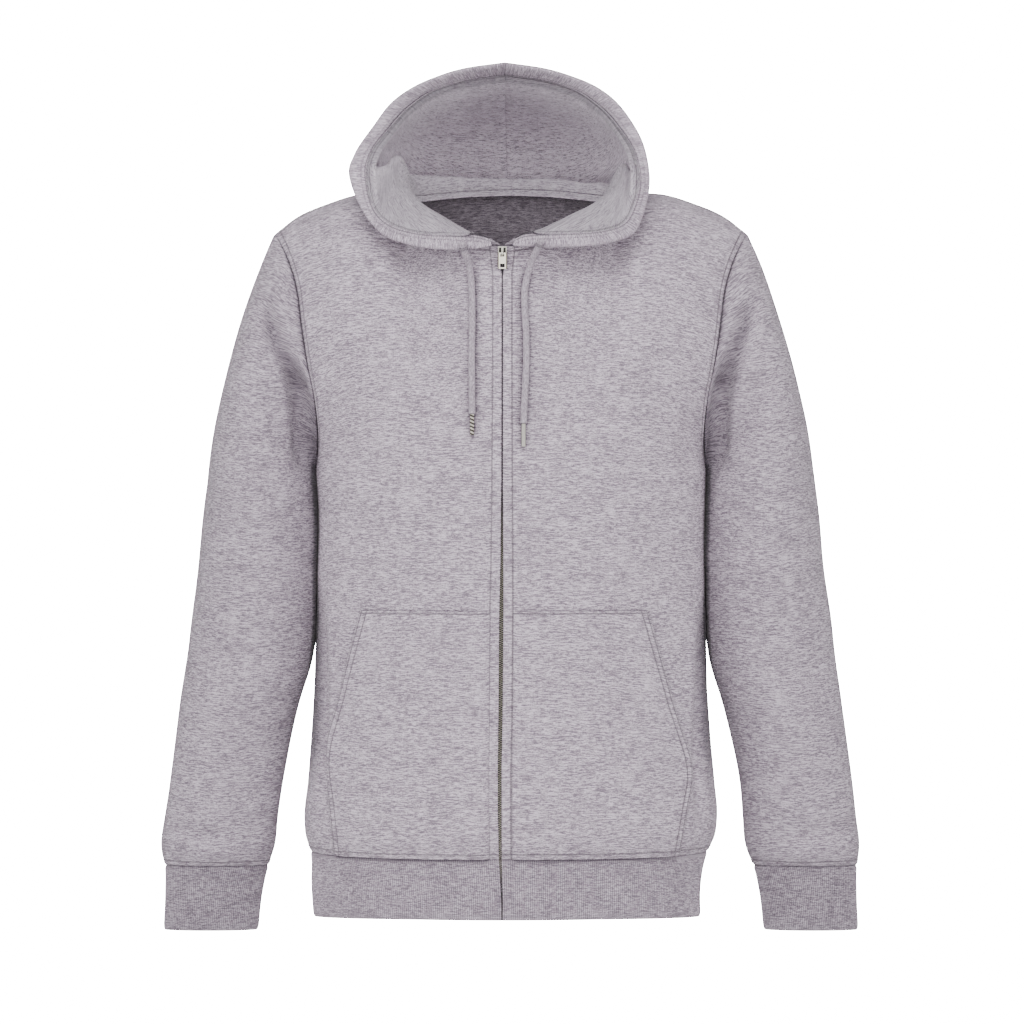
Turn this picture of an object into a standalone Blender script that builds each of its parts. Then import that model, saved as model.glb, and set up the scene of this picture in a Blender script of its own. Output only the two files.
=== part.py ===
"""Zip-up hoodie in its worn, hollow form.

Each cut piece is its own closed cloth wall: two fronts, back, two sleeves, two
cuffs, hem rib, two hood halves, the turned hood edges, two pockets and the zip.
+Z is up, the front faces -Y and +X is the wearer's left. The origin is where the
wearer's shoulders hold the garment: the middle of the neck, level with the
shoulder ridge. The tables are in millimetres and the meshes in metres.
"""

import math

import bmesh
import bpy
import numpy as np

MM = 0.001
COLLECTION = "zip_up_hoodie"
RIGHT, LEFT = -1, 1            # the wearer's right is -X
FRONT, BACK = -1, 1

# ------------------------------------------------------------------ sizes, mm
CLOTH = 2.0                    # brushed fleece
RIB_CLOTH = 2.2                # rib band, between its ribs
RIB_RISE = 0.8                 # a rib's crest over its valley
RIB_PITCH = 5.0                # crest to crest
SEAM_GAP = 0.3                 # between two pieces that are sewn together
ZIP_X = -8.0                   # the zip line stands off the middle
ZIP_HALF_GAP = 2.7             # zip line to a front's edge

HEM_SEAM_Z = -650.0
HEM_Z = -707.0
HEM_SAG = 6.0                  # the hem hangs lower at the sides
ARMPIT_Z = -288.0
NECK_SHARE = 0.32              # share of a panel's width that meets the neck
HUG = 0.60                     # how square the body's sections are
CAP_END_Z = -330.0             # the first full ring of the sleeve
CUFF_SEAM_Z = -664.0
CUFF_Z = -726.0

POCKET_TOP_Z = -418.0
POCKET_GAP = 1.2
POCKET_CLOTH = 1.8

TUNNEL_THICK = 6.0             # the hood's edge turned over the drawstring
CORD_RADIUS = 3.2
CORD_TIP_RADIUS = 1.95

TAPE_WIDE = 11.0
TAPE_THICK = 0.8
TAPE_GAP = 0.5                 # behind the fronts' inner faces
CHAIN_WIDE = 4.6
CHAIN_THICK = 2.6


def table(columns, *rows):
    """A table as one array for each named column."""
    names = columns.split()
    return {name: np.array([row[i] for row in rows], float) for i, name in enumerate(names)}


# Level sections of the body: reach of each side, depth of front and back.
BODY = table(
    "height  right  left  front  back",
    (-707.0, 189.0, 181.5, 113.0, 108.0),
    (-680.0, 191.0, 181.5, 114.0, 109.0),
    (-650.0, 192.0, 188.5, 116.0, 111.0),
    (-636.0, 196.5, 195.0, 121.0, 116.0),
    (-618.0, 198.0, 197.5, 123.0, 119.0),
    (-583.0, 194.5, 195.0, 123.0, 118.0),
    (-544.0, 191.5, 191.5, 122.0, 114.0),
    (-500.0, 189.0, 188.5, 121.0, 108.0),
    (-440.0, 187.0, 187.0, 121.0, 104.0),
    (-380.0, 185.5, 186.0, 122.0, 106.0),
    (-330.0, 185.0, 186.0, 123.0, 110.0),
    (-288.0, 186.5, 186.5, 124.0, 115.0),
)
SIDE_Y = -4.0

# Neck seam, from the zip (along 0) to the shoulder seam (along 1), and from the
# shoulder seam (0) to the middle of the back (1).
NECK_FRONT = table(
    "along  out    y      height",
    (0.00,   2.7, -108.0, -77.0),
    (0.22,  30.0, -101.0, -72.0),
    (0.45,  58.0,  -80.0, -61.0),
    (0.68,  80.0,  -50.0, -46.0),
    (0.86,  90.5,  -20.0, -33.0),
    (1.00,  93.0,    6.0, -26.0),
)
NECK_BACK = table(
    "along  out   y     height",
    (0.00,  93.0,  6.0, -26.0),
    (0.25,  87.0, 30.0, -23.5),
    (0.50,  68.0, 51.0, -20.0),
    (0.75,  37.0, 65.0, -16.5),
    (1.00,   0.0, 70.0, -15.0),
)
SHOULDER = table(
    "along  out     y    height",
    (0.00,  93.0,  6.0, -26.0),
    (0.14, 110.0,  5.0, -20.5),
    (0.35, 140.0,  4.0, -19.0),
    (0.60, 174.0,  3.0, -28.0),
    (0.82, 205.0,  2.5, -41.0),
    (1.00, 227.0,  2.0, -58.0),
)

# Armhole, from the armpit (rise 0) to the shoulder tip (rise 1); trim and lift say
# which column and row of the uncut panel it runs along.
ARMHOLE_FRONT = table(
    "rise   out     y      height  trim   lift",
    (0.000, 186.5,  -4.0, -288.0, 1.000, 0.000),
    (0.125, 184.0, -26.0, -258.0, 0.870, 0.078),
    (0.250, 186.5, -46.0, -222.0, 0.795, 0.165),
    (0.375, 193.0, -55.0, -186.0, 0.775, 0.255),
    (0.500, 198.5, -53.0, -150.0, 0.785, 0.355),
    (0.625, 203.0, -44.0, -117.0, 0.815, 0.462),
    (0.750, 210.0, -31.0,  -92.0, 0.870, 0.580),
    (0.875, 219.0, -15.0,  -72.0, 0.940, 0.745),
    (1.000, 227.0,   2.0,  -58.0, 1.000, 1.000),
)
ARMHOLE_BACK = table(
    "rise   out     y     height  trim   lift",
    (0.000, 186.5, -4.0, -288.0, 1.000, 0.000),
    (0.125, 187.0, 34.0, -258.0, 0.870, 0.078),
    (0.250, 191.0, 52.0, -222.0, 0.800, 0.165),
    (0.375, 197.0, 60.0, -186.0, 0.785, 0.255),
    (0.500, 203.0, 59.0, -150.0, 0.795, 0.355),
    (0.625, 208.0, 50.0, -117.0, 0.830, 0.465),
    (0.750, 214.0, 36.0,  -92.0, 0.885, 0.585),
    (0.875, 221.0, 19.0,  -72.0, 0.945, 0.750),
    (1.000, 227.0,  2.0,  -58.0, 1.000, 1.000),
)

# How round a panel turns over the shoulder, across its width.
TURN_FRONT = table("share  round", (0.0, 0.0), (0.12, 0.25), (0.32, 0.9), (0.5, 1.0), (1.0, 1.0))
TURN_BACK = table("share  round", (0.0, 0.75), (0.2, 0.9), (0.4, 1.0), (1.0, 1.0))

# Level sections of a sleeve: its reach from the middle of the body, and depth.
SLEEVE = table(
    "height   outer   inner  front   back",
    (-330.0,  296.5,  188.0, -66.0,  88.0),
    (-391.0,  302.5,  187.0, -60.0,  80.0),
    (-429.0,  307.5,  187.0, -56.0,  74.0),
    (-467.0,  312.0,  190.5, -52.0,  67.0),
    (-506.0,  317.5,  202.0, -50.0,  58.0),
    (-544.0,  322.5,  211.5, -46.0,  51.0),
    (-583.0,  327.5,  219.0, -43.0,  45.0),
    (-621.0,  332.5,  223.5, -39.0,  39.0),
    (-648.0,  335.5,  226.0, -33.0,  32.0),
    (-664.0,  332.0,  232.5, -25.0,  22.0),
    (-690.0,  331.5,  238.5, -21.0,  17.0),
    (-726.0,  333.0,  242.5, -19.5,  15.0),
)

# The way the sleeve leaves the armhole, from the armpit to the shoulder tip.
LEAVE_FRONT = table(
    "rise  out    y      up",
    (0.00, 0.88,  0.00, -0.47),
    (0.25, 0.78,  0.25, -0.55),
    (0.50, 0.85, -0.10, -0.50),
    (0.75, 0.68, -0.25, -0.68),
    (1.00, 0.42,  0.00, -0.91),
)
LEAVE_BACK = table(
    "rise  out    y      up",
    (0.00, 0.88,  0.00, -0.47),
    (0.25, 0.80,  0.05, -0.58),
    (0.50, 0.80,  0.20, -0.55),
    (0.75, 0.68,  0.25, -0.68),
    (1.00, 0.42,  0.00, -0.91),
)

# Hood, from the zip (around 0) past the shoulder seam (0.5) to the middle of the
# back (1): the roll just above the neck seam, and how far the cloth hangs down in
# a bag behind the neck instead of going straight to the edge.
HOOD_ROLL = table(
    "around  out   up    bag",
    (0.00,   2.0,  5.0, 0.00),
    (0.15,   5.0, 12.0, 0.00),
    (0.30,  13.0, 17.0, 0.00),
    (0.45,  17.0, 26.0, 0.05),
    (0.55,  16.0, 28.0, 0.25),
    (0.68,  13.0, 26.0, 0.62),
    (0.84,  12.0, 22.0, 0.92),
    (1.00,  12.0, 20.0, 1.00),
)
ROLL_AT = 0.12                 # share of the hood's section that rises to the roll
HOOD_ARRIVES = 9.0             # it runs this far in the plane of the turned edge
BAG_SIDEWAYS = 0.45            # the bag hangs back more than sideways
HOOD_ROOM = 5.0                # hood over the shoulders
HOOD_SOFTER = 2                # times its folds are evened out
SLEEVE_ROOM = 2.0              # sleeve beside the body
ARMPIT_ROOM = 5.0              # more where it leaves the armpit
# The bag behind the neck: way out from the neck seam and height.
HOOD_BAG = table(
    "station  out    height",
    (0.00,   12.0,    5.0),
    (0.16,   40.0,  -40.0),
    (0.32,   72.0,  -86.0),
    (0.46,  100.0,  -55.0),
    (0.60,  106.0,    8.0),
    (0.78,   86.0,   66.0),
    (1.00,  -20.0,  100.0),
)
# Edge of the hood: the sewn side of the turned edge, and its free side.
EDGE_RIGHT = table(
    "around  sewn_x  sewn_y  sewn_z  free_x  free_y  free_z",
    (0.00,  -20.0, -112.0,  -70.5,  -18.0, -116.0,  -77.0),
    (0.08,  -32.0, -114.0,  -67.5,  -31.0, -120.0,  -80.0),
    (0.18,  -52.0, -114.0,  -66.5,  -52.0, -121.0,  -81.5),
    (0.30,  -91.0, -103.0,  -63.0,  -94.0, -110.0,  -76.0),
    (0.38, -113.0,  -88.0,  -54.0, -122.0,  -90.0,  -64.0),
    (0.46, -128.0,  -72.0,  -38.0, -143.0,  -70.0,  -36.0),
    (0.53, -134.0,  -60.0,   -8.0, -153.5,  -58.0,   -6.0),
    (0.60, -131.0,  -48.0,   12.0, -149.0,  -50.0,   13.0),
    (0.70, -115.5,  -25.0,   39.0, -132.0,  -34.0,   41.0),
    (0.80,  -96.0,    6.0,   65.0, -111.0,   -9.0,   70.0),
    (0.90,  -66.0,   32.0,   86.0,  -76.0,   15.0,   92.0),
    (0.96,  -35.0,   45.0,   95.0,  -42.0,   27.0,  103.5),
    (1.00,   -6.0,   50.0,  100.0,   -6.0,   32.0,  109.0),
)
EDGE_LEFT = table(
    "around  sewn_x  sewn_y  sewn_z  free_x  free_y  free_z",
    (0.00,    4.5, -112.0,  -70.5,    2.0, -116.0,  -77.0),
    (0.08,   14.0, -114.0,  -66.5,   13.0, -120.0,  -78.0),
    (0.18,   40.0, -114.0,  -65.0,   40.0, -121.0,  -79.0),
    (0.30,   84.0, -102.0,  -62.0,   91.0, -109.0,  -74.0),
    (0.38,  104.0,  -88.0,  -54.0,  116.0,  -90.0,  -63.0),
    (0.46,  115.0,  -72.0,  -34.0,  128.0,  -70.0,  -34.0),
    (0.53,  119.0,  -60.0,  -12.0,  131.5,  -60.0,  -12.0),
    (0.60,  116.0,  -46.0,   12.0,  129.0,  -50.0,   12.0),
    (0.70,  103.0,  -25.0,   39.0,  118.5,  -34.0,   41.0),
    (0.80,   84.0,    6.0,   65.0,   96.0,   -9.0,   72.0),
    (0.90,   54.0,   32.0,   86.0,   63.0,   15.0,   92.5),
    (0.96,   24.0,   45.0,   95.0,   29.0,   27.0,  103.5),
    (1.00,   -6.0,   50.0,  100.0,   -6.0,   32.0,  109.0),
)

# Outer edge of each pocket: the sewn side below, then the slanting hand opening.
POCKET_RIGHT = table(
    "height  out", (-650.0, 166.0), (-606.0, 170.0), (-560.0, 172.0), (-490.0, 158.0), (-418.0, 140.0)
)
POCKET_LEFT = table(
    "height  out", (-650.0, 155.0), (-606.0, 165.0), (-581.0, 168.0), (-500.0, 148.5), (-418.0, 127.5)
)

# Drawstrings, from inside the turned edge down the chest: x and height of the middle.
CORD_RIGHT = table(
    "x  height  lift",
    (-45.5, -75.0, 28.8), (-44.5, -80.0, 27.6), (-42.0, -87.0, 20.0), (-39.0, -96.0, 8.5), (-37.2, -108.0, 1.2),
    (-36.4, -122.0, 0.8), (-36.2, -137.0, 0.8), (-36.2, -152.0, 0.8), (-36.4, -168.0, 0.8),
    (-36.5, -184.0, 0.8), (-36.4, -200.0, 0.8), (-36.3, -217.0, 0.8), (-36.2, -234.0, 0.8),
)
CORD_LEFT = table(
    "x  height  lift",
    (28.5, -72.0, 27.6), (26.8, -77.0, 26.6), (23.0, -84.0, 19.0), (19.3, -92.0, 9.0), (15.5, -104.0, 1.2),
    (12.7, -119.0, 0.8), (12.9, -137.0, 0.8), (14.0, -155.0, 0.8), (14.4, -175.0, 0.8),
    (14.0, -195.0, 0.8), (13.2, -213.0, 0.8), (12.3, -229.0, 0.8), (11.8, -243.0, 0.8),
)
TIP_LENGTH = {RIGHT: 19.5, LEFT: 21.2}

# Slider and pull, from the middle of the zip line at the slider's height.
SLIDER_TOP_Z = -77.5
SLIDER_LONG = 10.5
SLIDER_WIDE = 8.0
PLATE_THICK = 1.2
POST_WIDE = 2.2
BAR_RADIUS = 0.6
BRIDGE_WIDE = 2.4
BRIDGE_OUTER = 2.6
BRIDGE_INNER = 1.5
PULL_WIDE = 8.8
PULL_LONG = 15.0
PULL_THICK = 1.2

# Rows and columns of the pieces' grids.
BODY_LEVELS = (-650, -641, -630, -612, -588, -560, -528, -492, -455, -418, -376, -332, -288)
UPPER_ROWS = 8
NECK_COLUMNS = 6
SHOULDER_COLUMNS = 6
SLEEVE_CAP_ROWS = 6
SLEEVE_LEVELS = (-366, -404, -442, -478, -514, -550, -586, -620, -642, -654, -664)
HOOD_ROWS = 13


# ------------------------------------------------------------------ curves
def read(rows, places, key, *names):
    """Named columns at the given places, on one smooth curve through the rows."""
    knots = rows[key] if rows[key][0] < rows[key][-1] else rows[key][::-1]
    backwards = rows[key][0] > rows[key][-1]
    places = np.clip(np.asarray(places, float), knots[0], knots[-1])
    i = np.clip(np.searchsorted(knots, places, side="right") - 1, 0, len(knots) - 2)
    width = knots[i + 1] - knots[i]
    t = (places - knots[i]) / width
    found = []
    for name in names:
        value = rows[name][::-1] if backwards else rows[name]
        slope = np.gradient(value, knots)
        curve = value[i] * (1 + 2 * t) * (1 - t) ** 2 + value[i + 1] * t * t * (3 - 2 * t)
        curve = curve + width * t * (1 - t) * (slope[i] * (1 - t) - slope[i + 1] * t)
        found.append(curve)
    return np.stack(found, axis=-1)


def cubic(p0, p1, p2, p3, t):
    """Points of a cubic arc with these four guide points."""
    t = np.asarray(t, float)[..., None]
    return (1 - t) ** 3 * p0 + 3 * (1 - t) ** 2 * t * p1 + 3 * (1 - t) * t * t * p2 + t ** 3 * p3


def unit(vectors):
    """The vectors at length one."""
    return vectors / np.maximum(np.linalg.norm(vectors, axis=-1, keepdims=True), 1e-9)


def ease(t):
    """0 to 1 with a soft start and end."""
    t = np.clip(t, 0.0, 1.0)
    return t * t * (3 - 2 * t)


# ------------------------------------------------------------------ body form
def body_row(side, half, height, share):
    """Level arc of half a front or back, from its middle edge to the side seam."""
    reach, depth = np.moveaxis(read(BODY, height, "height", "right" if side == RIGHT else "left",
                                    "front" if half == FRONT else "back"), -1, 0)
    start = ZIP_X + side * ZIP_HALF_GAP if half == FRONT else 0.0
    start = start + 0 * reach
    level = height + 0 * reach
    corner_y = half * depth
    p0 = np.stack([start, corner_y, level], axis=-1)
    p1 = np.stack([start + HUG * (side * reach - start), corner_y, level], axis=-1)
    p2 = np.stack([side * reach, SIDE_Y + HUG * (corner_y - SIDE_Y), level], axis=-1)
    p3 = np.stack([side * reach, SIDE_Y + 0 * reach, level], axis=-1)
    return cubic(p0, p1, p2, p3, share)


def neck_seam(side, half, along):
    """Neck seam of one side: front from the zip to the shoulder, back from there on."""
    rows = NECK_FRONT if half == FRONT else NECK_BACK
    points = read(rows, along, "along", "out", "y", "height")
    shift = ZIP_X * (1 - ease(along)) if half == FRONT else 0.0
    points[..., 0] = side * points[..., 0] + shift
    return points


def top_edge(side, half, share):
    """Upper edge of half a panel: neck seam, then shoulder seam out to its tip."""
    along = np.clip(share / NECK_SHARE, 0, 1)
    neck = neck_seam(side, half, along if half == FRONT else 1 - along)
    over = np.clip((share - NECK_SHARE) / (1 - NECK_SHARE), 0, 1)
    shoulder = read(SHOULDER, over, "along", "out", "y", "height")
    shoulder[..., 0] *= side
    return np.where((share <= NECK_SHARE)[..., None], neck, shoulder)


def armhole(side, half, rise):
    """Armhole seam from the armpit to the shoulder tip."""
    rows = ARMHOLE_FRONT if half == FRONT else ARMHOLE_BACK
    points = read(rows, rise, "rise", "out", "y", "height")
    points[..., 0] *= side
    return points


def turn_over(turn, rise):
    """How far a column has gone in x, y and z, from the armpit level to its top."""
    quarter = rise * math.pi / 2
    back = (1 - turn) * rise + turn * (1 - np.cos(quarter))
    up = (1 - turn) * rise + turn * np.sin(quarter)
    return np.stack([rise + 0 * turn, back, up], axis=-1)


def uncut(side, half, share, rise):
    """The panel above the armpit before its armhole is cut, each column a quarter round."""
    low = body_row(side, half, ARMPIT_Z + 0 * share, share)
    turn = read(TURN_FRONT if half == FRONT else TURN_BACK, share, "share", "round")[..., 0]
    return low + (top_edge(side, half, share) - low) * turn_over(turn, rise)


def half_panel(side, half, level, share):
    """Half a front or back: level 0 to 1 up to the armpit, 1 to 2 up to the neck.

    Below the armpit each row is a level arc. Above it the outer columns run in to the
    armhole's trim and lift, and what is left over is drawn out to the armhole itself.
    """
    level, share = np.meshgrid(level, share, indexing="ij")
    height = HEM_SEAM_Z + np.clip(level, 0, 1) * (ARMPIT_Z - HEM_SEAM_Z)
    low = body_row(side, half, height, share)
    rise = np.clip(level - 1, 0, 1)
    rows = ARMHOLE_FRONT if half == FRONT else ARMHOLE_BACK
    trim, lift = np.moveaxis(read(rows, rise, "rise", "trim", "lift"), -1, 0)
    over = np.clip((share - NECK_SHARE) / (1 - NECK_SHARE), 0, 1)
    column = np.where(share > NECK_SHARE, NECK_SHARE + over * (trim - NECK_SHARE), share)
    row = rise + ease(over) * (lift - rise)
    rest = armhole(side, half, rise) - uncut(side, half, trim, lift)
    high = uncut(side, half, column, row) + ease(share)[..., None] * rest
    return np.where((level > 1)[..., None], high, low)


# ------------------------------------------------------------------ sleeve form
def sleeve_ring(side, height, around):
    """Level ring of a sleeve; around 0 outside, 0.25 front, 0.5 inside, 0.75 back."""
    outer, inner, front, back = np.moveaxis(
        read(SLEEVE, height, "height", "outer", "inner", "front", "back"), -1, 0)
    angle = around * 2 * math.pi
    x = side * ((outer + inner) / 2 + (outer - inner) / 2 * np.cos(angle))
    y = (front + back) / 2 - (back - front) / 2 * np.sin(angle)
    return np.stack([x, y, height + 0 * angle], axis=-1)


def sleeve_form(side, down, around):
    """Sleeve: down 0 to 1 from the armhole to its first full ring, 1 on by height."""
    down, around = np.meshgrid(down, around, indexing="ij")
    in_front = around <= 0.5
    rise = np.where(in_front, 1 - 2 * around, 2 * around - 1)
    both = [armhole(side, half, rise) for half in (FRONT, BACK)]
    p0 = np.where(in_front[..., None], both[0], both[1])
    ways = [read(rows, rise, "rise", "out", "y", "up") for rows in (LEAVE_FRONT, LEAVE_BACK)]
    way = unit(np.where(in_front[..., None], ways[0], ways[1])) * np.array([side, 1.0, 1.0])
    p3 = sleeve_ring(side, CAP_END_Z + 0 * around, around)
    fall = unit(sleeve_ring(side, CAP_END_Z - 40 + 0 * around, around) - p3)
    reach = np.linalg.norm(p3 - p0, axis=-1, keepdims=True) * 0.33
    cap = cubic(p0, p0 + way * reach, p3 - fall * reach, p3, np.clip(down, 0, 1))
    height = CAP_END_Z + np.clip(down - 1, 0, 1) * (CUFF_SEAM_Z - CAP_END_Z)
    return np.where((down > 1)[..., None], sleeve_ring(side, height, around), cap)


# ------------------------------------------------------------------ hood form
def hood_edge(side, around):
    """The turned edge's sewn side and free side at places round the hood."""
    rows = EDGE_RIGHT if side == RIGHT else EDGE_LEFT
    sewn = read(rows, around, "around", "sewn_x", "sewn_y", "sewn_z")
    free = read(rows, around, "around", "free_x", "free_y", "free_z")
    return sewn, free


def hood_neck(side, around):
    """Neck seam for the hood: its first half is the front's, its second the back's."""
    front = neck_seam(side, FRONT, np.clip(around * 2, 0, 1))
    back = neck_seam(side, BACK, np.clip(around * 2 - 1, 0, 1))
    return np.where((around <= 0.5)[..., None], front, back)


def bag_at(neck, outward, out, height):
    """A point of the bag, set out from the neck seam, at its height."""
    point = neck * np.array([1.0, 1.0, 0.0]) + outward * np.array([BAG_SIDEWAYS, 1.0, 0.0]) * out
    point[..., 2] = height
    return point


def hood_form(side, around, out):
    """Half the hood: out 0 at the neck seam, 1 at the turned edge.

    Each section rises from the neck seam to the roll. From there it mixes a straight
    way to the edge with the bag that hangs behind the neck, and it reaches the edge
    in the plane of the turned cloth.
    """
    out, around = np.meshgrid(out, around, indexing="ij")
    neck = hood_neck(side, around)
    sewn, free = hood_edge(side, around)
    arrive = sewn + unit(sewn - free) * HOOD_ARRIVES * ease(around / 0.35)[..., None]
    roll = read(HOOD_ROLL, around, "around", "out", "up", "bag")
    outward = unit(neck * np.array([1.0, 1.0, 0.0]))
    crest = neck + outward * roll[..., :1] + np.array([0, 0, 1.0]) * roll[..., 1:2]
    after = np.clip((out - ROLL_AT) / (1 - ROLL_AT) / 0.92, 0, 1)
    bag = read(HOOD_BAG, after, "station", "out", "height")
    fall = bag_at(neck, outward, bag[..., :1], bag[..., 1])
    first = crest - bag_at(neck, outward, HOOD_BAG["out"][0], HOOD_BAG["height"][0])
    last = arrive - bag_at(neck, outward, HOOD_BAG["out"][-1], HOOD_BAG["height"][-1])
    fall = fall + first * (1 - ease(after))[..., None] + last * ease(after)[..., None]
    chord = crest + (arrive - crest) * after[..., None]
    chord[..., 2] += roll[..., 1] * 0.25 * np.sin(after * math.pi)
    share = roll[..., 2:3]
    body = chord * (1 - share) + fall * share
    climb = np.clip(out / ROLL_AT, 0, 1) * math.pi / 2
    rising = neck + (crest - neck) * np.stack([1 - np.cos(climb), 1 - np.cos(climb), np.sin(climb)], axis=-1)
    points = np.where((out <= ROLL_AT)[..., None], rising, body)
    points = neck + (sewn - neck) * out[..., None] + (points - neck - (sewn - neck) * out[..., None]) * ease(
        (around / 0.25))[..., None]
    return np.where((out > 0.999)[..., None], sewn, points)


# ------------------------------------------------------------------ room between pieces
def panel_skin():
    """Close points of the body panels' outer face, and the way out at each."""
    points, ways = [], []
    level = np.concatenate([np.linspace(0, 1, 40)[:-1], np.linspace(1, 2, 40)])
    for side in (RIGHT, LEFT):
        for half in (FRONT, BACK):
            grid = half_panel(side, half, level, np.linspace(0, 1, 48))
            way = grid_normals(grid, False)
            way = way * np.sign((way * (grid - np.array([0, SIDE_Y, 0])) * np.array([1, 1, 0])).sum())
            points.append(grid.reshape(-1, 3))
            ways.append(way.reshape(-1, 3))
    return np.concatenate(points), np.concatenate(ways)


def set_clear(points, skin, room):
    """Points moved out along the panels' faces until each has its room."""
    flat = points.reshape(-1, 3).copy()
    room = np.broadcast_to(room, points.shape[:-1]).reshape(-1)
    for start in range(0, len(flat), 256):
        part = flat[start:start + 256]
        gaps = np.linalg.norm(part[:, None] - skin[0][None], axis=2)
        near = gaps.argmin(axis=1)
        off = ((part - skin[0][near]) * skin[1][near]).sum(axis=1)
        short = np.clip(room[start:start + 256] - off, 0, 60)
        flat[start:start + 256] = part + skin[1][near] * short[:, None]
    return flat.reshape(points.shape)


# ------------------------------------------------------------------ walls
def grid_normals(points, wrap):
    """Unit normals of a grid from the run of its rows and columns."""
    if wrap:
        padded = np.concatenate([points[:, -1:], points, points[:, :1]], axis=1)
        across = (padded[:, 2:] - padded[:, :-2])
    else:
        across = np.gradient(points, axis=1)
    along = np.gradient(points, axis=0)
    return unit(np.cross(across, along))


def weld_normals(grids):
    """Mitre directions: where pieces share a point they share the mean of their normals."""
    keys, normals = [], []
    for points, normal in grids.values():
        keys.append(np.round(points.reshape(-1, 3) * 20).astype(np.int64))
        normals.append(normal.reshape(-1, 3))
    _, index = np.unique(np.concatenate(keys), axis=0, return_inverse=True)
    index = index.reshape(-1)
    normals = np.concatenate(normals)
    total = np.zeros((index.max() + 1, 3))
    count = np.zeros((index.max() + 1, 1))
    np.add.at(total, index, normals)
    np.add.at(count, index, 1.0)
    mean = (total / count)[index]
    size = np.maximum(np.linalg.norm(mean, axis=1, keepdims=True), 0.45)
    offset = mean / size ** 2
    found, start = {}, 0
    for name, (points, _) in grids.items():
        stop = start + points.shape[0] * points.shape[1]
        found[name] = offset[start:stop].reshape(points.shape)
        start = stop
    return found


def draw_in(points, inner, wrap):
    """Both faces of a wall with their open edges drawn in by half the seam gap."""
    gap = SEAM_GAP / 2
    for face in (points, inner):
        first, last = face[0].copy(), face[-1].copy()
        face[0] += unit(face[1] - first) * gap
        face[-1] += unit(face[-2] - last) * gap
    if not wrap:
        for face in (points, inner):
            first, last = face[:, 0].copy(), face[:, -1].copy()
            face[:, 0] += unit(face[:, 1] - first) * gap
            face[:, -1] += unit(face[:, -2] - last) * gap


def mesh_object(name, points, faces, material):
    """A mesh in metres in the garment's collection, its faces turned outwards."""
    mesh = bpy.data.meshes.new(name)
    mesh.from_pydata([tuple(p) for p in np.asarray(points) * MM], [], faces)
    shaped = bmesh.new()
    shaped.from_mesh(mesh)
    bmesh.ops.recalc_face_normals(shaped, faces=shaped.faces)
    shaped.to_mesh(mesh)
    shaped.free()
    mesh.shade_smooth()
    mesh.set_sharp_from_angle(angle=math.radians(40))
    mesh.materials.append(material)
    obj = bpy.data.objects.new(name, mesh)
    bpy.data.collections[COLLECTION].objects.link(obj)
    return obj


def wall_object(name, outer, inner, material, wrap=False):
    """A closed wall between two grids of the same rows and columns."""
    rows, columns = outer.shape[:2]
    number = np.arange(rows * columns).reshape(rows, columns)
    if wrap:
        number = np.concatenate([number, number[:, :1]], axis=1)
    far = number + rows * columns
    faces = []
    flat = outer.reshape(-1, 3)
    shift = rows * columns
    for r in range(rows - 1):
        for c in range(number.shape[1] - 1):
            a, b = number[r, c], number[r, c + 1]
            d, e = number[r + 1, c + 1], number[r + 1, c]
            if np.linalg.norm(flat[a] - flat[d]) < np.linalg.norm(flat[b] - flat[e]):
                halves = ((a, b, d), (a, d, e))
            else:
                halves = ((a, b, e), (b, d, e))
            for half in halves:
                faces.append(half)
                faces.append(tuple(i + shift for i in half[::-1]))
    rims = [(number[0], far[0]), (number[-1], far[-1])]
    if not wrap:
        rims += [(number[:, 0], far[:, 0]), (number[:, -1], far[:, -1])]
    for near, away in rims:
        for i in range(len(near) - 1):
            faces.append((near[i], near[i + 1], away[i + 1], away[i]))
    points = np.concatenate([outer.reshape(-1, 3), inner.reshape(-1, 3)])
    return mesh_object(name, points, [tuple(int(i) for i in face) for face in faces], material)


def band_object(name, base, inward, material, closed):
    """A rib band: ribs on its outer face over a plain inside.

    base holds the seam's level points at the top and at the bottom, inward the way
    to the inner face. Each stretch between two points carries whole ribs.
    """
    top, bottom = base
    stretch = np.linalg.norm(np.diff(top, axis=0), axis=1)
    ribs = np.maximum(1, np.round(stretch / RIB_PITCH).astype(int))
    upper, lower = [], []
    for i, count in enumerate(ribs):
        for step in range(2 * count):
            t = step / (2 * count)
            rise = RIB_RISE if step % 2 else 0.0
            for face, target in ((top, upper), (bottom, lower)):
                point = face[i] + (face[i + 1] - face[i]) * t
                way = inward[i] + (inward[i + 1] - inward[i]) * t
                target.append(point - way * (rise - RIB_RISE / 2))
    if not closed:
        upper.append(top[-1])
        lower.append(bottom[-1])
    upper, lower = np.array(upper), np.array(lower)
    core = slice(0, len(top) - 1) if closed else slice(0, len(top))
    inner_top = top[core] + inward[core] * RIB_CLOTH
    inner_bottom = bottom[core] + inward[core] * RIB_CLOTH
    return rib_mesh(name, upper, lower, inner_top, inner_bottom, ribs, material, closed)


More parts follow.
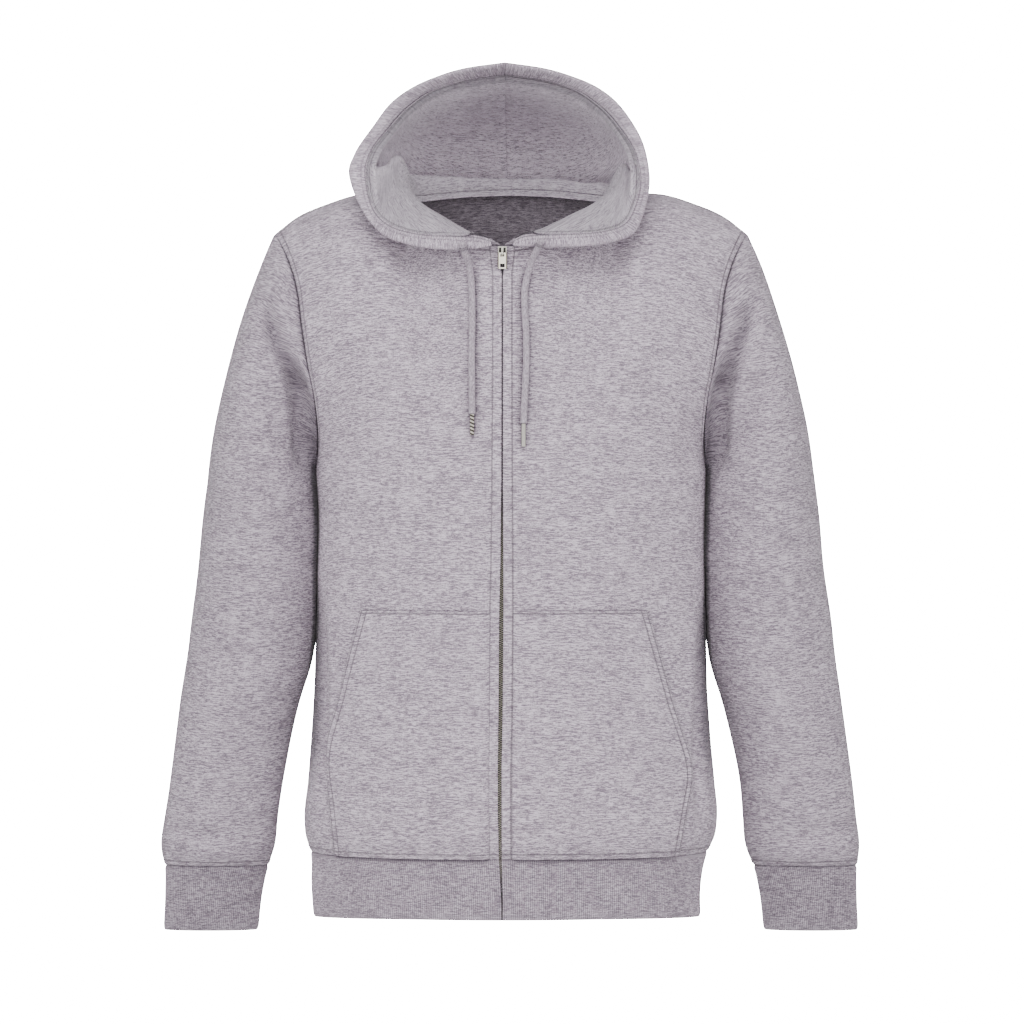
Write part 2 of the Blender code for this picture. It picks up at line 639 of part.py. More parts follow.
def rib_mesh(name, upper, lower, inner_top, inner_bottom, ribs, material, closed):
    """Joins the ribbed outer face and the plain inner face of a band."""
    fine, plain = len(upper), len(inner_top)
    starts = np.concatenate([[0], np.cumsum(2 * ribs)])
    up, low = np.arange(fine), np.arange(fine) + fine
    in_up, in_low = np.arange(plain) + 2 * fine, np.arange(plain) + 2 * fine + plain
    faces = []
    last = fine if closed else fine - 1
    for i in range(last):
        j = (i + 1) % fine
        faces.append((up[i], up[j], low[j], low[i]))
    for i in range(len(ribs)):
        j = (i + 1) % plain
        faces.append((in_up[i], in_low[i], in_low[j], in_up[j]))
        for step in range(starts[i], starts[i + 1]):
            after = (step + 1) % fine
            faces.append((up[step], in_up[i], up[after]))
            faces.append((low[step], low[after], in_low[i]))
        end = starts[i + 1] % fine
        faces.append((up[end], in_up[i], in_up[j]))
        faces.append((low[end], in_low[j], in_low[i]))
    if not closed:
        faces.append((up[0], low[0], in_low[0], in_up[0]))
        faces.append((up[-1], in_up[-1], in_low[-1], low[-1]))
    points = np.concatenate([upper, lower, inner_top, inner_bottom])
    return mesh_object(name, points, [tuple(int(i) for i in face) for face in faces], material)


# ------------------------------------------------------------------ cloth pieces
def levels():
    """Row places of the body panels."""
    lower = (np.array(BODY_LEVELS, float) - HEM_SEAM_Z) / (ARMPIT_Z - HEM_SEAM_Z)
    upper = 1 + np.arange(1, UPPER_ROWS + 1) / UPPER_ROWS
    return np.concatenate([lower, upper])


def shares():
    """Column places of half a panel: the neck's, then the shoulder's."""
    neck = np.linspace(0, NECK_SHARE, NECK_COLUMNS + 1)
    shoulder = np.linspace(NECK_SHARE, 1, SHOULDER_COLUMNS + 1)[1:]
    return np.concatenate([neck, shoulder])


def cloth_grids():
    """Outer grid of every fleece piece, columns running so that normals point out."""
    grids = {}
    for side, word in ((RIGHT, "right"), (LEFT, "left")):
        front = half_panel(side, FRONT, levels(), shares())
        grids["front_" + word] = front[:, ::-1] if side == RIGHT else front
    halves = {side: half_panel(side, BACK, levels(), shares()) for side in (RIGHT, LEFT)}
    grids["back"] = np.concatenate([halves[LEFT][:, ::-1], halves[RIGHT][:, 1:]], axis=1)
    skin = panel_skin()
    cap = np.linspace(0, 1, SLEEVE_CAP_ROWS + 1)
    tube = 1 + (np.array(SLEEVE_LEVELS, float) - CAP_END_Z) / (CUFF_SEAM_Z - CAP_END_Z)
    around = np.arange(2 * UPPER_ROWS) / (2 * UPPER_ROWS)
    for side, word in ((RIGHT, "right"), (LEFT, "left")):
        down = np.concatenate([cap, tube])
        sleeve = sleeve_form(side, down, around)
        under = ease(1 - np.abs(2 * around - 1) / 0.4)[None, :] * ease(1 - np.abs(down - 0.3) / 0.45)[:, None]
        room = SLEEVE_ROOM * ease(down / 0.18)[:, None] + ARMPIT_ROOM * under
        sleeve = set_clear(sleeve, skin, room)
        grids["sleeve_" + word] = sleeve[::-1, ::-1] if side == LEFT else sleeve[::-1]
    places = np.linspace(0, 1, 2 * NECK_COLUMNS + 1)
    out = np.concatenate([[0.0, 0.06], np.linspace(ROLL_AT, 1, HOOD_ROWS - 1)])
    for side, word in ((RIGHT, "right"), (LEFT, "left")):
        hood = hood_form(side, places, out)
        for _ in range(HOOD_SOFTER):
            hood[1:-1] = hood[1:-1] * 0.5 + (hood[:-2] + hood[2:]) * 0.25
        room = HOOD_ROOM * ease(out / ROLL_AT)[:, None] * ease(places / 0.25)[None, :]
        hood[1:-1] = set_clear(hood[1:-1], skin, room[1:-1])
        grids["hood_" + word] = hood[:, ::-1] if side == RIGHT else hood
    return grids


def level_normals(normals, name):
    """Normals kept level where a rib band is sewn on."""
    if name.startswith("hood"):
        return normals
    normals[0, :, 2] = 0
    normals[0] = unit(normals[0])
    return normals


def make_cloth(material):
    """All fleece walls; returns their outer and inner grids for what is set on them."""
    grids = cloth_grids()
    wraps = {name: name.startswith("sleeve") for name in grids}
    pairs = {}
    for name, points in grids.items():
        normals = level_normals(grid_normals(points, wraps[name]), name)
        pairs[name] = (points, normals)
    inward = weld_normals(pairs)
    walls = {}
    for name, points in grids.items():
        outer = points.copy()
        inner = points - inward[name] * CLOTH
        draw_in(outer, inner, wraps[name])
        wall_object(name, outer, inner, material, wraps[name])
        walls[name] = (outer, inner)
    return grids, inward, walls


def make_hem(grids, inward, material):
    """The hem rib, from the left front's zip edge round the back to the right's."""
    left, middle, right = "front_left", "back", "front_right"
    top = np.concatenate([grids[left][0], grids[middle][0, 1:], grids[right][0, 1:]])
    way = np.concatenate([inward[left][0], inward[middle][0, 1:], inward[right][0, 1:]])
    way = unit(way * np.array([-1.0, -1.0, 0.0]))
    bottom = top.copy()
    side = np.sign(top[:, 0] - ZIP_X)
    at_seam = read(BODY, HEM_SEAM_Z, "height", "right", "left", "front", "back")
    at_hem = read(BODY, HEM_Z, "height", "right", "left", "front", "back")
    wide = np.where(side < 0, at_hem[0] / at_seam[0], at_hem[1] / at_seam[1])
    deep = np.where(top[:, 1] < SIDE_Y, at_hem[2] / at_seam[2], at_hem[3] / at_seam[3])
    bottom[:, 0] = np.where(np.abs(top[:, 0] - ZIP_X) < 4, top[:, 0], top[:, 0] * wide)
    bottom[:, 1] = SIDE_Y + (top[:, 1] - SIDE_Y) * deep
    top[:, 2] = HEM_SEAM_Z - SEAM_GAP / 2
    bottom[:, 2] = HEM_Z - HEM_SAG * np.clip(1 - np.abs(top[:, 1] - SIDE_Y) / 100, 0, 1)
    band_object("hem_rib", (top, bottom), way, material, False)


def make_cuff(side, word, grids, material):
    """One cuff rib under its sleeve."""
    top = grids["sleeve_" + word][0]
    top = np.concatenate([top, top[:1]])
    count = len(top) - 1
    around = np.arange(count) / count
    low = sleeve_ring(side, np.full(count, CUFF_Z), around)
    low = low[::-1] if side == LEFT else low
    low = np.concatenate([low, low[:1]])
    padded = np.concatenate([top[-2:-1], top, top[1:2]])
    run = padded[2:] - padded[:-2]
    way = unit(np.stack([-run[:, 1], run[:, 0], 0 * run[:, 0]], axis=-1))
    centre = top[:-1].mean(axis=0)
    flip = np.sign(((centre - top) * way).sum(axis=1, keepdims=True))
    top = top - np.array([0, 0, SEAM_GAP / 2])
    band_object("cuff_" + word, (top, low), way * flip, material, True)


def make_turned_edge(side, word, material):
    """The hood's edge, turned over the drawstring: a flat round-edged band."""
    around = np.concatenate([[0.0, 0.04, 0.08], np.linspace(0.12, 1.0, 23)])
    sewn, free = hood_edge(side, around)
    run = unit(np.gradient((sewn + free) / 2, axis=0))
    flat = unit(free - sewn)
    thick = unit(np.cross(run, flat))
    sewn = sewn + flat * SEAM_GAP
    middle = (sewn + free) / 2
    half_wide = np.linalg.norm(free - sewn, axis=1) / 2
    end_slim = np.clip(0.45 + around / 0.12 * 0.55, 0, 1)
    angles = np.arange(10) / 10 * 2 * math.pi
    across = np.sign(np.cos(angles)) * np.abs(np.cos(angles)) ** 0.7
    deep = np.sign(np.sin(angles)) * np.abs(np.sin(angles)) ** 0.8
    rings = middle[:, None] + flat[:, None] * (across[None, :, None] * half_wide[:, None, None])
    rings = rings + thick[:, None] * (deep[None, :, None] * (TUNNEL_THICK / 2 * end_slim)[:, None, None])
    rings[-1, :, 0] = -6.0 + side * SEAM_GAP / 2
    tube_object("hood_edge_" + word, rings, material)


def tube_object(name, rings, material):
    """A closed solid through rings of points, with a flat cap at each end."""
    rows, columns = rings.shape[:2]
    number = np.arange(rows * columns).reshape(rows, columns)
    faces = []
    for r in range(rows - 1):
        for c in range(columns):
            d = (c + 1) % columns
            faces.append((number[r, c], number[r, d], number[r + 1, d], number[r + 1, c]))
    faces.append(tuple(number[0][::-1]))
    faces.append(tuple(number[-1]))
    return mesh_object(name, rings.reshape(-1, 3), [tuple(int(i) for i in f) for f in faces], material)


# ------------------------------------------------------------------ on the fronts
def on_front(word, outer, height, out):
    """Points on a front's faceted outer face at given heights and ways out from x 0."""
    face = outer[:, ::-1] if word == "right" else outer
    side = RIGHT if word == "right" else LEFT
    found = np.zeros(out.shape + (3,))
    for place in np.ndindex(out.shape):
        column = crossing(face, height[place])
        distance = column[:, 0] * side
        for axis in range(3):
            found[place + (axis,)] = np.interp(out[place], distance, column[:, axis])
    return found


def crossing(face, height):
    """Where each column of a grid, rising upwards, passes a height."""
    points = np.zeros((face.shape[1], 3))
    for c in range(face.shape[1]):
        for axis in range(3):
            points[c, axis] = np.interp(height, face[:, c, 2], face[:, c, axis])
    return points


def make_pocket(side, word, walls, material):
    """A kangaroo pocket's half, lying on its front."""
    outer = walls["front_" + word][0]
    rows = POCKET_RIGHT if side == RIGHT else POCKET_LEFT
    lower = [z for z in BODY_LEVELS if z < POCKET_TOP_Z] + [POCKET_TOP_Z]
    heights = np.array(lower, float)
    heights[0] += 1.0
    edge = read(rows, heights, "height", "out")[:, 0]
    start = side * ZIP_X + 13.0
    across = np.linspace(0, 1, 11)
    out = start + (edge[:, None] - start) * across[None, :]
    height = np.repeat(heights[:, None], len(across), axis=1)
    base = on_front(word, outer, height, out)
    away = grid_normals(base, False) * (-side)
    away = away * np.sign(-away[:1, :1, 1:2])
    low = base + away * POCKET_GAP
    high = base + away * (POCKET_GAP + POCKET_CLOTH)
    wall_object("pocket_" + word, high, low, material)


def zip_line(walls):
    """Middle of the zip: between the two fronts' edges, from the hem to the neck."""
    right = walls["front_right"][0][:, -1]
    left = walls["front_left"][0][:, 0]
    hem_y = -read(BODY, HEM_Z, "height", "front")[0]
    return np.concatenate([[[ZIP_X, hem_y, HEM_Z + 1.0]], (right + left) / 2])


def tape_grid(side, outer, inner):
    """A tape against the inner face of its front: its two long edges."""
    if side == RIGHT:
        outer, inner = outer[:, ::-1], inner[:, ::-1]
    ways = unit(inner[:, :2] - outer[:, :2])
    share = TAPE_WIDE / np.linalg.norm(inner[:, 1] - inner[:, 0], axis=1)[:, None]
    near = inner[:, 0] + ways[:, 0] * TAPE_GAP
    near[:, 0] = ZIP_X + side * (CHAIN_WIDE / 2 + SEAM_GAP)
    far = inner[:, 0] + (inner[:, 1] - inner[:, 0]) * share
    far = far + (ways[:, 0] * (1 - share) + ways[:, 1] * share) * TAPE_GAP
    near[0, 1] += RIB_CLOTH - CLOTH + 0.4
    far[0, 1] += RIB_CLOTH - CLOTH + 0.4
    grid = np.stack([near, far], axis=1)
    foot = grid[:1].copy()
    foot[..., 1] += read(BODY, HEM_SEAM_Z, "height", "front")[0] - read(BODY, HEM_Z, "height", "front")[0]
    foot[..., 2] = HEM_Z + 1.0
    return np.concatenate([foot, grid])


def make_zip(walls, cloth_material, metal):
    """Tapes behind the fronts' edges, and the closed chain between them."""
    line = zip_line(walls)
    for side, word in ((RIGHT, "right"), (LEFT, "left")):
        grid = tape_grid(side, *walls["front_" + word])
        back = grid + np.array([0, TAPE_THICK, 0])
        wall_object("zip_tape_" + word, grid, back, cloth_material)
    chain = line[line[:, 2] < SLIDER_TOP_Z - SLIDER_LONG - 4]
    top = np.array([ZIP_X, np.interp(SLIDER_TOP_Z - SLIDER_LONG - 0.4, line[:, 2], line[:, 1]),
                    SLIDER_TOP_Z - SLIDER_LONG - 0.4])
    chain = np.concatenate([chain, top[None]])
    half = CHAIN_WIDE / 2
    corners = np.array([[-half, 0.2, 0], [half, 0.2, 0], [half, 0.2 + CHAIN_THICK, 0],
                        [-half, 0.2 + CHAIN_THICK, 0]])
    tube_object("zip_chain", chain[:, None] + corners[None], metal)
    return line


def box(size, centre):
    """A box as a separate mesh object, still outside the collection."""
    bpy.ops.mesh.primitive_cube_add(size=1.0)
    obj = bpy.context.object
    for vertex in obj.data.vertices:
        for axis in range(3):
            vertex.co[axis] = (vertex.co[axis] * size[axis] + centre[axis]) * MM
    return obj


def half_ring(centre):
    """The slider's bridge: a strip bent over the pull's bar, its feet in the plate."""
    steps = 8
    angles = [math.pi * i / steps for i in range(steps + 1)]
    rings = []
    for x in (-BRIDGE_WIDE / 2, BRIDGE_WIDE / 2):
        for radius in (BRIDGE_INNER, BRIDGE_OUTER):
            arc = [(x, -radius * math.sin(a), radius * math.cos(a)) for a in angles]
            arc = [(x, 1.3, radius)] + arc + [(x, 1.3, -radius)]
            rings.append(arc)
    rings = np.array(rings)[[0, 1, 3, 2]].transpose(1, 0, 2) + np.array(centre)
    return rings


def make_slider(line, metal):
    """Slider with its bridge, and the pull that hangs from it."""
    top_y = np.interp(SLIDER_TOP_Z - SLIDER_LONG, line[:, 2], line[:, 1])
    face_y = top_y - 0.9 - PLATE_THICK
    middle_z = SLIDER_TOP_Z - SLIDER_LONG / 2
    back_y = top_y + RIB_CLOTH + 3.4
    plate = box((SLIDER_WIDE, PLATE_THICK, SLIDER_LONG), (ZIP_X, face_y + PLATE_THICK / 2, middle_z))
    post = box((POST_WIDE, back_y - face_y, SLIDER_LONG * 0.5),
               (ZIP_X, (back_y + face_y) / 2 + 0.5, SLIDER_TOP_Z - SLIDER_LONG * 0.3))
    under = box((SLIDER_WIDE, PLATE_THICK, SLIDER_LONG), (ZIP_X, back_y + PLATE_THICK / 2, middle_z))
    bar = np.array([ZIP_X, face_y - 1.0, SLIDER_TOP_Z - SLIDER_LONG * 0.62])
    bridge = tube_object("bridge", half_ring(bar), metal)
    slider = union("zip_slider", [plate, post, under, bridge], metal)
    make_pull(bar, metal)
    return slider


def union(name, objects, material):
    """One closed solid from touching solids."""
    base = objects[0]
    for other in objects[1:]:
        modifier = base.modifiers.new("join", "BOOLEAN")
        modifier.operation = "UNION"
        modifier.object = other
    bpy.context.view_layer.update()
    solid = base.evaluated_get(bpy.context.evaluated_depsgraph_get())
    mesh = bpy.data.meshes.new_from_object(solid)
    mesh.materials.clear()
    mesh.materials.append(material)
    mesh.name = name
    for obj in objects:
        bpy.data.objects.remove(obj)
    joined = bpy.data.objects.new(name, mesh)
    bpy.data.collections[COLLECTION].objects.link(joined)
    return joined


def make_pull(bar, metal):
    """Pull tab: a bar under the bridge, two legs and a tab with a hole in its end."""
    origin = np.zeros(3)
    tab = box((PULL_WIDE, PULL_THICK, PULL_LONG), origin + [0, 0, -PULL_LONG / 2 + 0.6])
    eye = box((3.6, 4.0, 2.6), origin + [0, 0, -1.95])
    hole = box((4.6, 4.0, 3.4), origin + [0, 0, -PULL_LONG + 3.6])
    for cutter in (eye, hole):
        modifier = tab.modifiers.new("cut", "BOOLEAN")
        modifier.operation = "DIFFERENCE"
        modifier.object = cutter
    bpy.context.view_layer.update()
    solid = tab.evaluated_get(bpy.context.evaluated_depsgraph_get())
    mesh = bpy.data.meshes.new_from_object(solid)
    mesh.materials.clear()
    mesh.materials.append(metal)
    for obj in (tab, eye, hole):
        bpy.data.objects.remove(obj)
    pull = bpy.data.objects.new("zip_pull", mesh)
    pull.location = bar * MM
    bpy.data.collections[COLLECTION].objects.link(pull)
    return pull


# ------------------------------------------------------------------ drawstrings
def cord_route(side, walls):
    """Middle line of a drawstring, lying on its front."""
    rows = CORD_RIGHT if side == RIGHT else CORD_LEFT
    word = "right" if side == RIGHT else "left"
    face = walls["front_" + word][0]
    base = on_front(word, face, rows["height"], rows["x"] * side)
    points = np.stack([rows["x"], base[:, 1] - CORD_RADIUS - rows["lift"], rows["height"]], axis=-1)
    return points


def make_cord(side, word, walls, material, metal):
    """A drawstring and the metal tip on its end."""
    route = cord_route(side, walls)
    run = np.concatenate([[0], np.cumsum(np.linalg.norm(np.diff(route, axis=0), axis=1))])
    rows = {"run": run, "x": route[:, 0], "y": route[:, 1], "z": route[:, 2]}
    fine = read(rows, np.linspace(0, run[-1], 16), "run", "x", "y", "z")
    curve = bpy.data.curves.new("drawstring_" + word, "CURVE")
    curve.dimensions = "3D"
    curve.bevel_depth = CORD_RADIUS * MM
    curve.bevel_resolution = 2
    curve.use_fill_caps = True
    spline = curve.splines.new("POLY")
    spline.points.add(len(fine) - 1)
    for point, place in zip(spline.points, fine * MM):
        point.co = (place[0], place[1], place[2], 1.0)
    curve.materials.append(material)
    cord = bpy.data.objects.new("drawstring_" + word, curve)
    bpy.data.collections[COLLECTION].objects.link(cord)
    length = TIP_LENGTH[side]
    bpy.ops.mesh.primitive_cylinder_add(vertices=14, radius=CORD_TIP_RADIUS * MM, depth=length * MM)
    tip = bpy.context.object
    tip.name = "cord_tip_" + word
    tip.location = (fine[-1] - np.array([0, 0, SEAM_GAP + length / 2])) * MM
    tip.data.materials.append(metal)
    for collection in tip.users_collection:
        collection.objects.unlink(tip)
    bpy.data.collections[COLLECTION].objects.link(tip)


# ------------------------------------------------------------------ the garment
def finish(name, colour, roughness, metallic):
    """A Principled material."""
    material = bpy.data.materials.new(name)
    material.use_nodes = True
    shader = material.node_tree.nodes["Principled BSDF"]
    shader.inputs["Base Color"].default_value = (*colour, 1.0)
    shader.inputs["Roughness"].default_value = roughness
    shader.inputs["Metallic"].default_value = metallic
    return material


def main():
    for obj in list(bpy.data.objects):
        bpy.data.objects.remove(obj)
    bpy.context.scene.collection.children.link(bpy.data.collections.new(COLLECTION))
    fleece = finish("heather_grey_fleece", (0.39, 0.36, 0.39), 0.95, 0.0)
    rib = finish("heather_grey_rib", (0.37, 0.34, 0.37), 0.95, 0.0)
    tape = finish("zip_tape", (0.30, 0.28, 0.29), 0.9, 0.0)
    cord = finish("cotton_cord", (0.38, 0.35, 0.37), 0.9, 0.0)
    teeth = finish("zip_metal", (0.45, 0.44, 0.42), 0.35, 1.0)
    silver = finish("silver_metal", (0.72, 0.70, 0.64), 0.28, 1.0)
    grids, inward, walls = make_cloth(fleece)
    make_hem(grids, inward, rib)
    for side, word in ((RIGHT, "right"), (LEFT, "left")):
        make_cuff(side, word, grids, rib)
        make_turned_edge(side, word, fleece)
        make_pocket(side, word, walls, fleece)
        make_cord(side, word, walls, cord, silver)
    line = make_zip(walls, tape, teeth)
    make_slider(line, silver)


main()
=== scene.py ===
"""Looks of the zip-up hoodie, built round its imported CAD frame.

Every cloth piece is a grid surface on the same form as its CAD solid, finer and with
its folds, seams and stitching. The tables are in millimetres, meshes in metres:
+Z is up, the front faces -Y and +X is the wearer's left.
"""

import math

import bpy
import numpy as np
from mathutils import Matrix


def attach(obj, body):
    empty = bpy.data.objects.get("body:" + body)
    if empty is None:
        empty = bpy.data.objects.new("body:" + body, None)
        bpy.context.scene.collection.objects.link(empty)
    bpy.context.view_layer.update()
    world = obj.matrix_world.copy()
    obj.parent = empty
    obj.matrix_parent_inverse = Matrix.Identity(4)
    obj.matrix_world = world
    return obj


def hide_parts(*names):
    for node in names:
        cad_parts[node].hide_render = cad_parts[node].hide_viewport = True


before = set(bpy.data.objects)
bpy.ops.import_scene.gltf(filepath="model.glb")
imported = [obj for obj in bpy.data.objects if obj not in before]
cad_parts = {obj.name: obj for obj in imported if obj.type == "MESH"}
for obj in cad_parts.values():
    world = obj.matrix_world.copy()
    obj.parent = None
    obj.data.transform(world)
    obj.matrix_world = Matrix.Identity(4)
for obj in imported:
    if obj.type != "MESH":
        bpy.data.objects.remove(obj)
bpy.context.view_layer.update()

MM = 0.001
RIGHT, LEFT = -1, 1            # the wearer's right is -X
FRONT, BACK = -1, 1
SIDES = ((RIGHT, "right"), (LEFT, "left"))
GARMENT = "garment"

# ------------------------------------------------------------------ sizes, mm
CLOTH = 2.0
RIB_CLOTH = 2.2
RIB_PITCH = 2.05               # crest to crest
RIB_DEEP = 0.75
SEAM_GAP = 0.3
ZIP_X = -8.0
ZIP_HALF_GAP = 2.7
HEM_SEAM_Z = -650.0
HEM_Z = -707.0
HEM_SAG = 6.0
ARMPIT_Z = -288.0
NECK_SHARE = 0.32
HUG = 0.60
CAP_END_Z = -330.0
CUFF_SEAM_Z = -664.0
POCKET_TOP_Z = -418.0
POCKET_FOOT_Z = -649.0
POCKET_STARTS = 11.6           # beside the middle of the zip
POCKET_GAP = 0.5
POCKET_CLOTH = 1.8
TUNNEL_THICK = 6.0
CORD_RADIUS = 3.2
TAPE_WIDE = 11.0


def table(columns, *rows):
    """A table as one array for each named column."""
    names = columns.split()
    return {name: np.array([row[i] for row in rows], float) for i, name in enumerate(names)}


# Level sections of the body: reach of each side, depth of front and back.
BODY = table(
    "height  right  left  front  back",
    (-707.0, 189.0, 181.5, 113.0, 108.0),
    (-680.0, 191.0, 181.5, 114.0, 109.0),
    (-650.0, 192.0, 188.5, 116.0, 111.0),
    (-636.0, 196.5, 195.0, 121.0, 116.0),
    (-618.0, 198.0, 197.5, 123.0, 119.0),
    (-583.0, 194.5, 195.0, 123.0, 118.0),
    (-544.0, 191.5, 191.5, 122.0, 114.0),
    (-500.0, 189.0, 188.5, 121.0, 108.0),
    (-440.0, 187.0, 187.0, 121.0, 104.0),
    (-380.0, 185.5, 186.0, 122.0, 106.0),
    (-330.0, 185.0, 186.0, 123.0, 110.0),
    (-288.0, 186.5, 186.5, 124.0, 115.0),
)
SIDE_Y = -4.0

# Neck seam, from the zip (along 0) to the shoulder seam (along 1), and from the
# shoulder seam (0) to the middle of the back (1).
NECK_FRONT = table(
    "along  out    y      height",
    (0.00,   2.7, -108.0, -77.0),
    (0.22,  30.0, -101.0, -72.0),
    (0.45,  58.0,  -80.0, -61.0),
    (0.68,  80.0,  -50.0, -46.0),
    (0.86,  90.5,  -20.0, -33.0),
    (1.00,  93.0,    6.0, -26.0),
)
NECK_BACK = table(
    "along  out   y     height",
    (0.00,  93.0,  6.0, -26.0),
    (0.25,  87.0, 30.0, -23.5),
    (0.50,  68.0, 51.0, -20.0),
    (0.75,  37.0, 65.0, -16.5),
    (1.00,   0.0, 70.0, -15.0),
)
SHOULDER = table(
    "along  out     y    height",
    (0.00,  93.0,  6.0, -26.0),
    (0.14, 110.0,  5.0, -20.5),
    (0.35, 140.0,  4.0, -19.0),
    (0.60, 174.0,  3.0, -28.0),
    (0.82, 205.0,  2.5, -41.0),
    (1.00, 227.0,  2.0, -58.0),
)

# Armhole, from the armpit (rise 0) to the shoulder tip (rise 1); trim and lift say
# which column and row of the uncut panel it runs along.
ARMHOLE_FRONT = table(
    "rise   out     y      height  trim   lift",
    (0.000, 186.5,  -4.0, -288.0, 1.000, 0.000),
    (0.125, 184.0, -26.0, -258.0, 0.870, 0.078),
    (0.250, 186.5, -46.0, -222.0, 0.795, 0.165),
    (0.375, 193.0, -55.0, -186.0, 0.775, 0.255),
    (0.500, 198.5, -53.0, -150.0, 0.785, 0.355),
    (0.625, 203.0, -44.0, -117.0, 0.815, 0.462),
    (0.750, 210.0, -31.0,  -92.0, 0.870, 0.580),
    (0.875, 219.0, -15.0,  -72.0, 0.940, 0.745),
    (1.000, 227.0,   2.0,  -58.0, 1.000, 1.000),
)
ARMHOLE_BACK = table(
    "rise   out     y     height  trim   lift",
    (0.000, 186.5, -4.0, -288.0, 1.000, 0.000),
    (0.125, 187.0, 34.0, -258.0, 0.870, 0.078),
    (0.250, 191.0, 52.0, -222.0, 0.800, 0.165),
    (0.375, 197.0, 60.0, -186.0, 0.785, 0.255),
    (0.500, 203.0, 59.0, -150.0, 0.795, 0.355),
    (0.625, 208.0, 50.0, -117.0, 0.830, 0.465),
    (0.750, 214.0, 36.0,  -92.0, 0.885, 0.585),
    (0.875, 221.0, 19.0,  -72.0, 0.945, 0.750),
    (1.000, 227.0,  2.0,  -58.0, 1.000, 1.000),
)

# How round a panel turns over the shoulder, across its width.
TURN_FRONT = table("share  round", (0.0, 0.0), (0.12, 0.25), (0.32, 0.9), (0.5, 1.0), (1.0, 1.0))
TURN_BACK = table("share  round", (0.0, 0.75), (0.2, 0.9), (0.4, 1.0), (1.0, 1.0))

# Level sections of a sleeve: its reach from the middle of the body, and depth.
SLEEVE = table(
    "height   outer   inner  front   back",
    (-330.0,  296.5,  188.0, -66.0,  88.0),
    (-391.0,  302.5,  187.0, -60.0,  80.0),
    (-429.0,  307.5,  187.0, -56.0,  74.0),
    (-467.0,  312.0,  190.5, -52.0,  67.0),
    (-506.0,  317.5,  202.0, -50.0,  58.0),
    (-544.0,  322.5,  211.5, -46.0,  51.0),
    (-583.0,  327.5,  219.0, -43.0,  45.0),
    (-621.0,  332.5,  223.5, -39.0,  39.0),
    (-648.0,  335.5,  226.0, -33.0,  32.0),
    (-664.0,  332.0,  232.5, -25.0,  22.0),
    (-690.0,  331.5,  238.5, -21.0,  17.0),
    (-726.0,  333.0,  242.5, -19.5,  15.0),
)

# The way the sleeve leaves the armhole, from the armpit to the shoulder tip.
LEAVE_FRONT = table(
    "rise  out    y      up",
    (0.00, 0.88,  0.00, -0.47),
    (0.25, 0.78,  0.25, -0.55),
    (0.50, 0.85, -0.10, -0.50),
    (0.75, 0.68, -0.25, -0.68),
    (1.00, 0.42,  0.00, -0.91),
)
LEAVE_BACK = table(
    "rise  out    y      up",
    (0.00, 0.88,  0.00, -0.47),
    (0.25, 0.80,  0.05, -0.58),
    (0.50, 0.80,  0.20, -0.55),
    (0.75, 0.68,  0.25, -0.68),
    (1.00, 0.42,  0.00, -0.91),
)

# Hood, from the zip (around 0) past the shoulder seam (0.5) to the middle of the
# back (1): the roll just above the neck seam, and how far the cloth hangs down in
# a bag behind the neck instead of going straight to the edge.
HOOD_ROLL = table(
    "around  out   up    bag",
    (0.00,   2.0,  5.0, 0.00),
    (0.15,   5.0, 12.0, 0.00),
    (0.30,  13.0, 17.0, 0.00),
    (0.45,  17.0, 26.0, 0.00),
    (0.55,  16.0, 28.0, 0.08),
    (0.68,  13.0, 26.0, 0.50),
    (0.84,  12.0, 22.0, 0.92),
    (1.00,  12.0, 20.0, 1.00),
)
ROLL_AT = 0.12                 # share of the hood's section that rises to the roll
HOOD_ARRIVES = 4.0             # it runs this far in the plane of the turned edge
BAG_SIDEWAYS = 0.45            # the bag hangs back more than sideways
# The bag behind the neck: way out from the neck seam and height.
HOOD_BAG = table(
    "station  out    height",
    (0.00,   12.0,    5.0),
    (0.16,   40.0,  -40.0),
    (0.32,   72.0,  -86.0),
    (0.46,  100.0,  -55.0),
    (0.60,  106.0,    8.0),
    (0.78,   86.0,   66.0),
    (1.00,  -20.0,  100.0),
)
# Edge of the hood: the sewn side of the turned edge, and its free side.
EDGE_RIGHT = table(
    "around  sewn_x  sewn_y  sewn_z  free_x  free_y  free_z",
    (0.00,  -20.0, -112.0,  -70.5,  -18.0, -116.0,  -77.0),
    (0.08,  -32.0, -114.0,  -67.5,  -31.0, -120.0,  -80.0),
    (0.18,  -52.0, -114.0,  -66.5,  -52.0, -121.0,  -81.5),
    (0.30,  -91.0, -103.0,  -63.0,  -94.0, -110.0,  -76.0),
    (0.38, -113.0,  -88.0,  -54.0, -122.0,  -90.0,  -64.0),
    (0.46, -128.0,  -72.0,  -38.0, -143.0,  -70.0,  -36.0),
    (0.53, -134.0,  -60.0,   -8.0, -153.5,  -58.0,   -6.0),
    (0.60, -131.0,  -48.0,   12.0, -149.0,  -50.0,   13.0),
    (0.70, -115.5,  -25.0,   39.0, -132.0,  -34.0,   41.0),
    (0.80,  -96.0,    6.0,   65.0, -111.0,   -9.0,   70.0),
    (0.90,  -66.0,   32.0,   86.0,  -76.0,   15.0,   92.0),
    (0.96,  -35.0,   45.0,   95.0,  -42.0,   27.0,  103.5),
    (1.00,   -6.0,   50.0,  100.0,   -6.0,   32.0,  109.0),
)
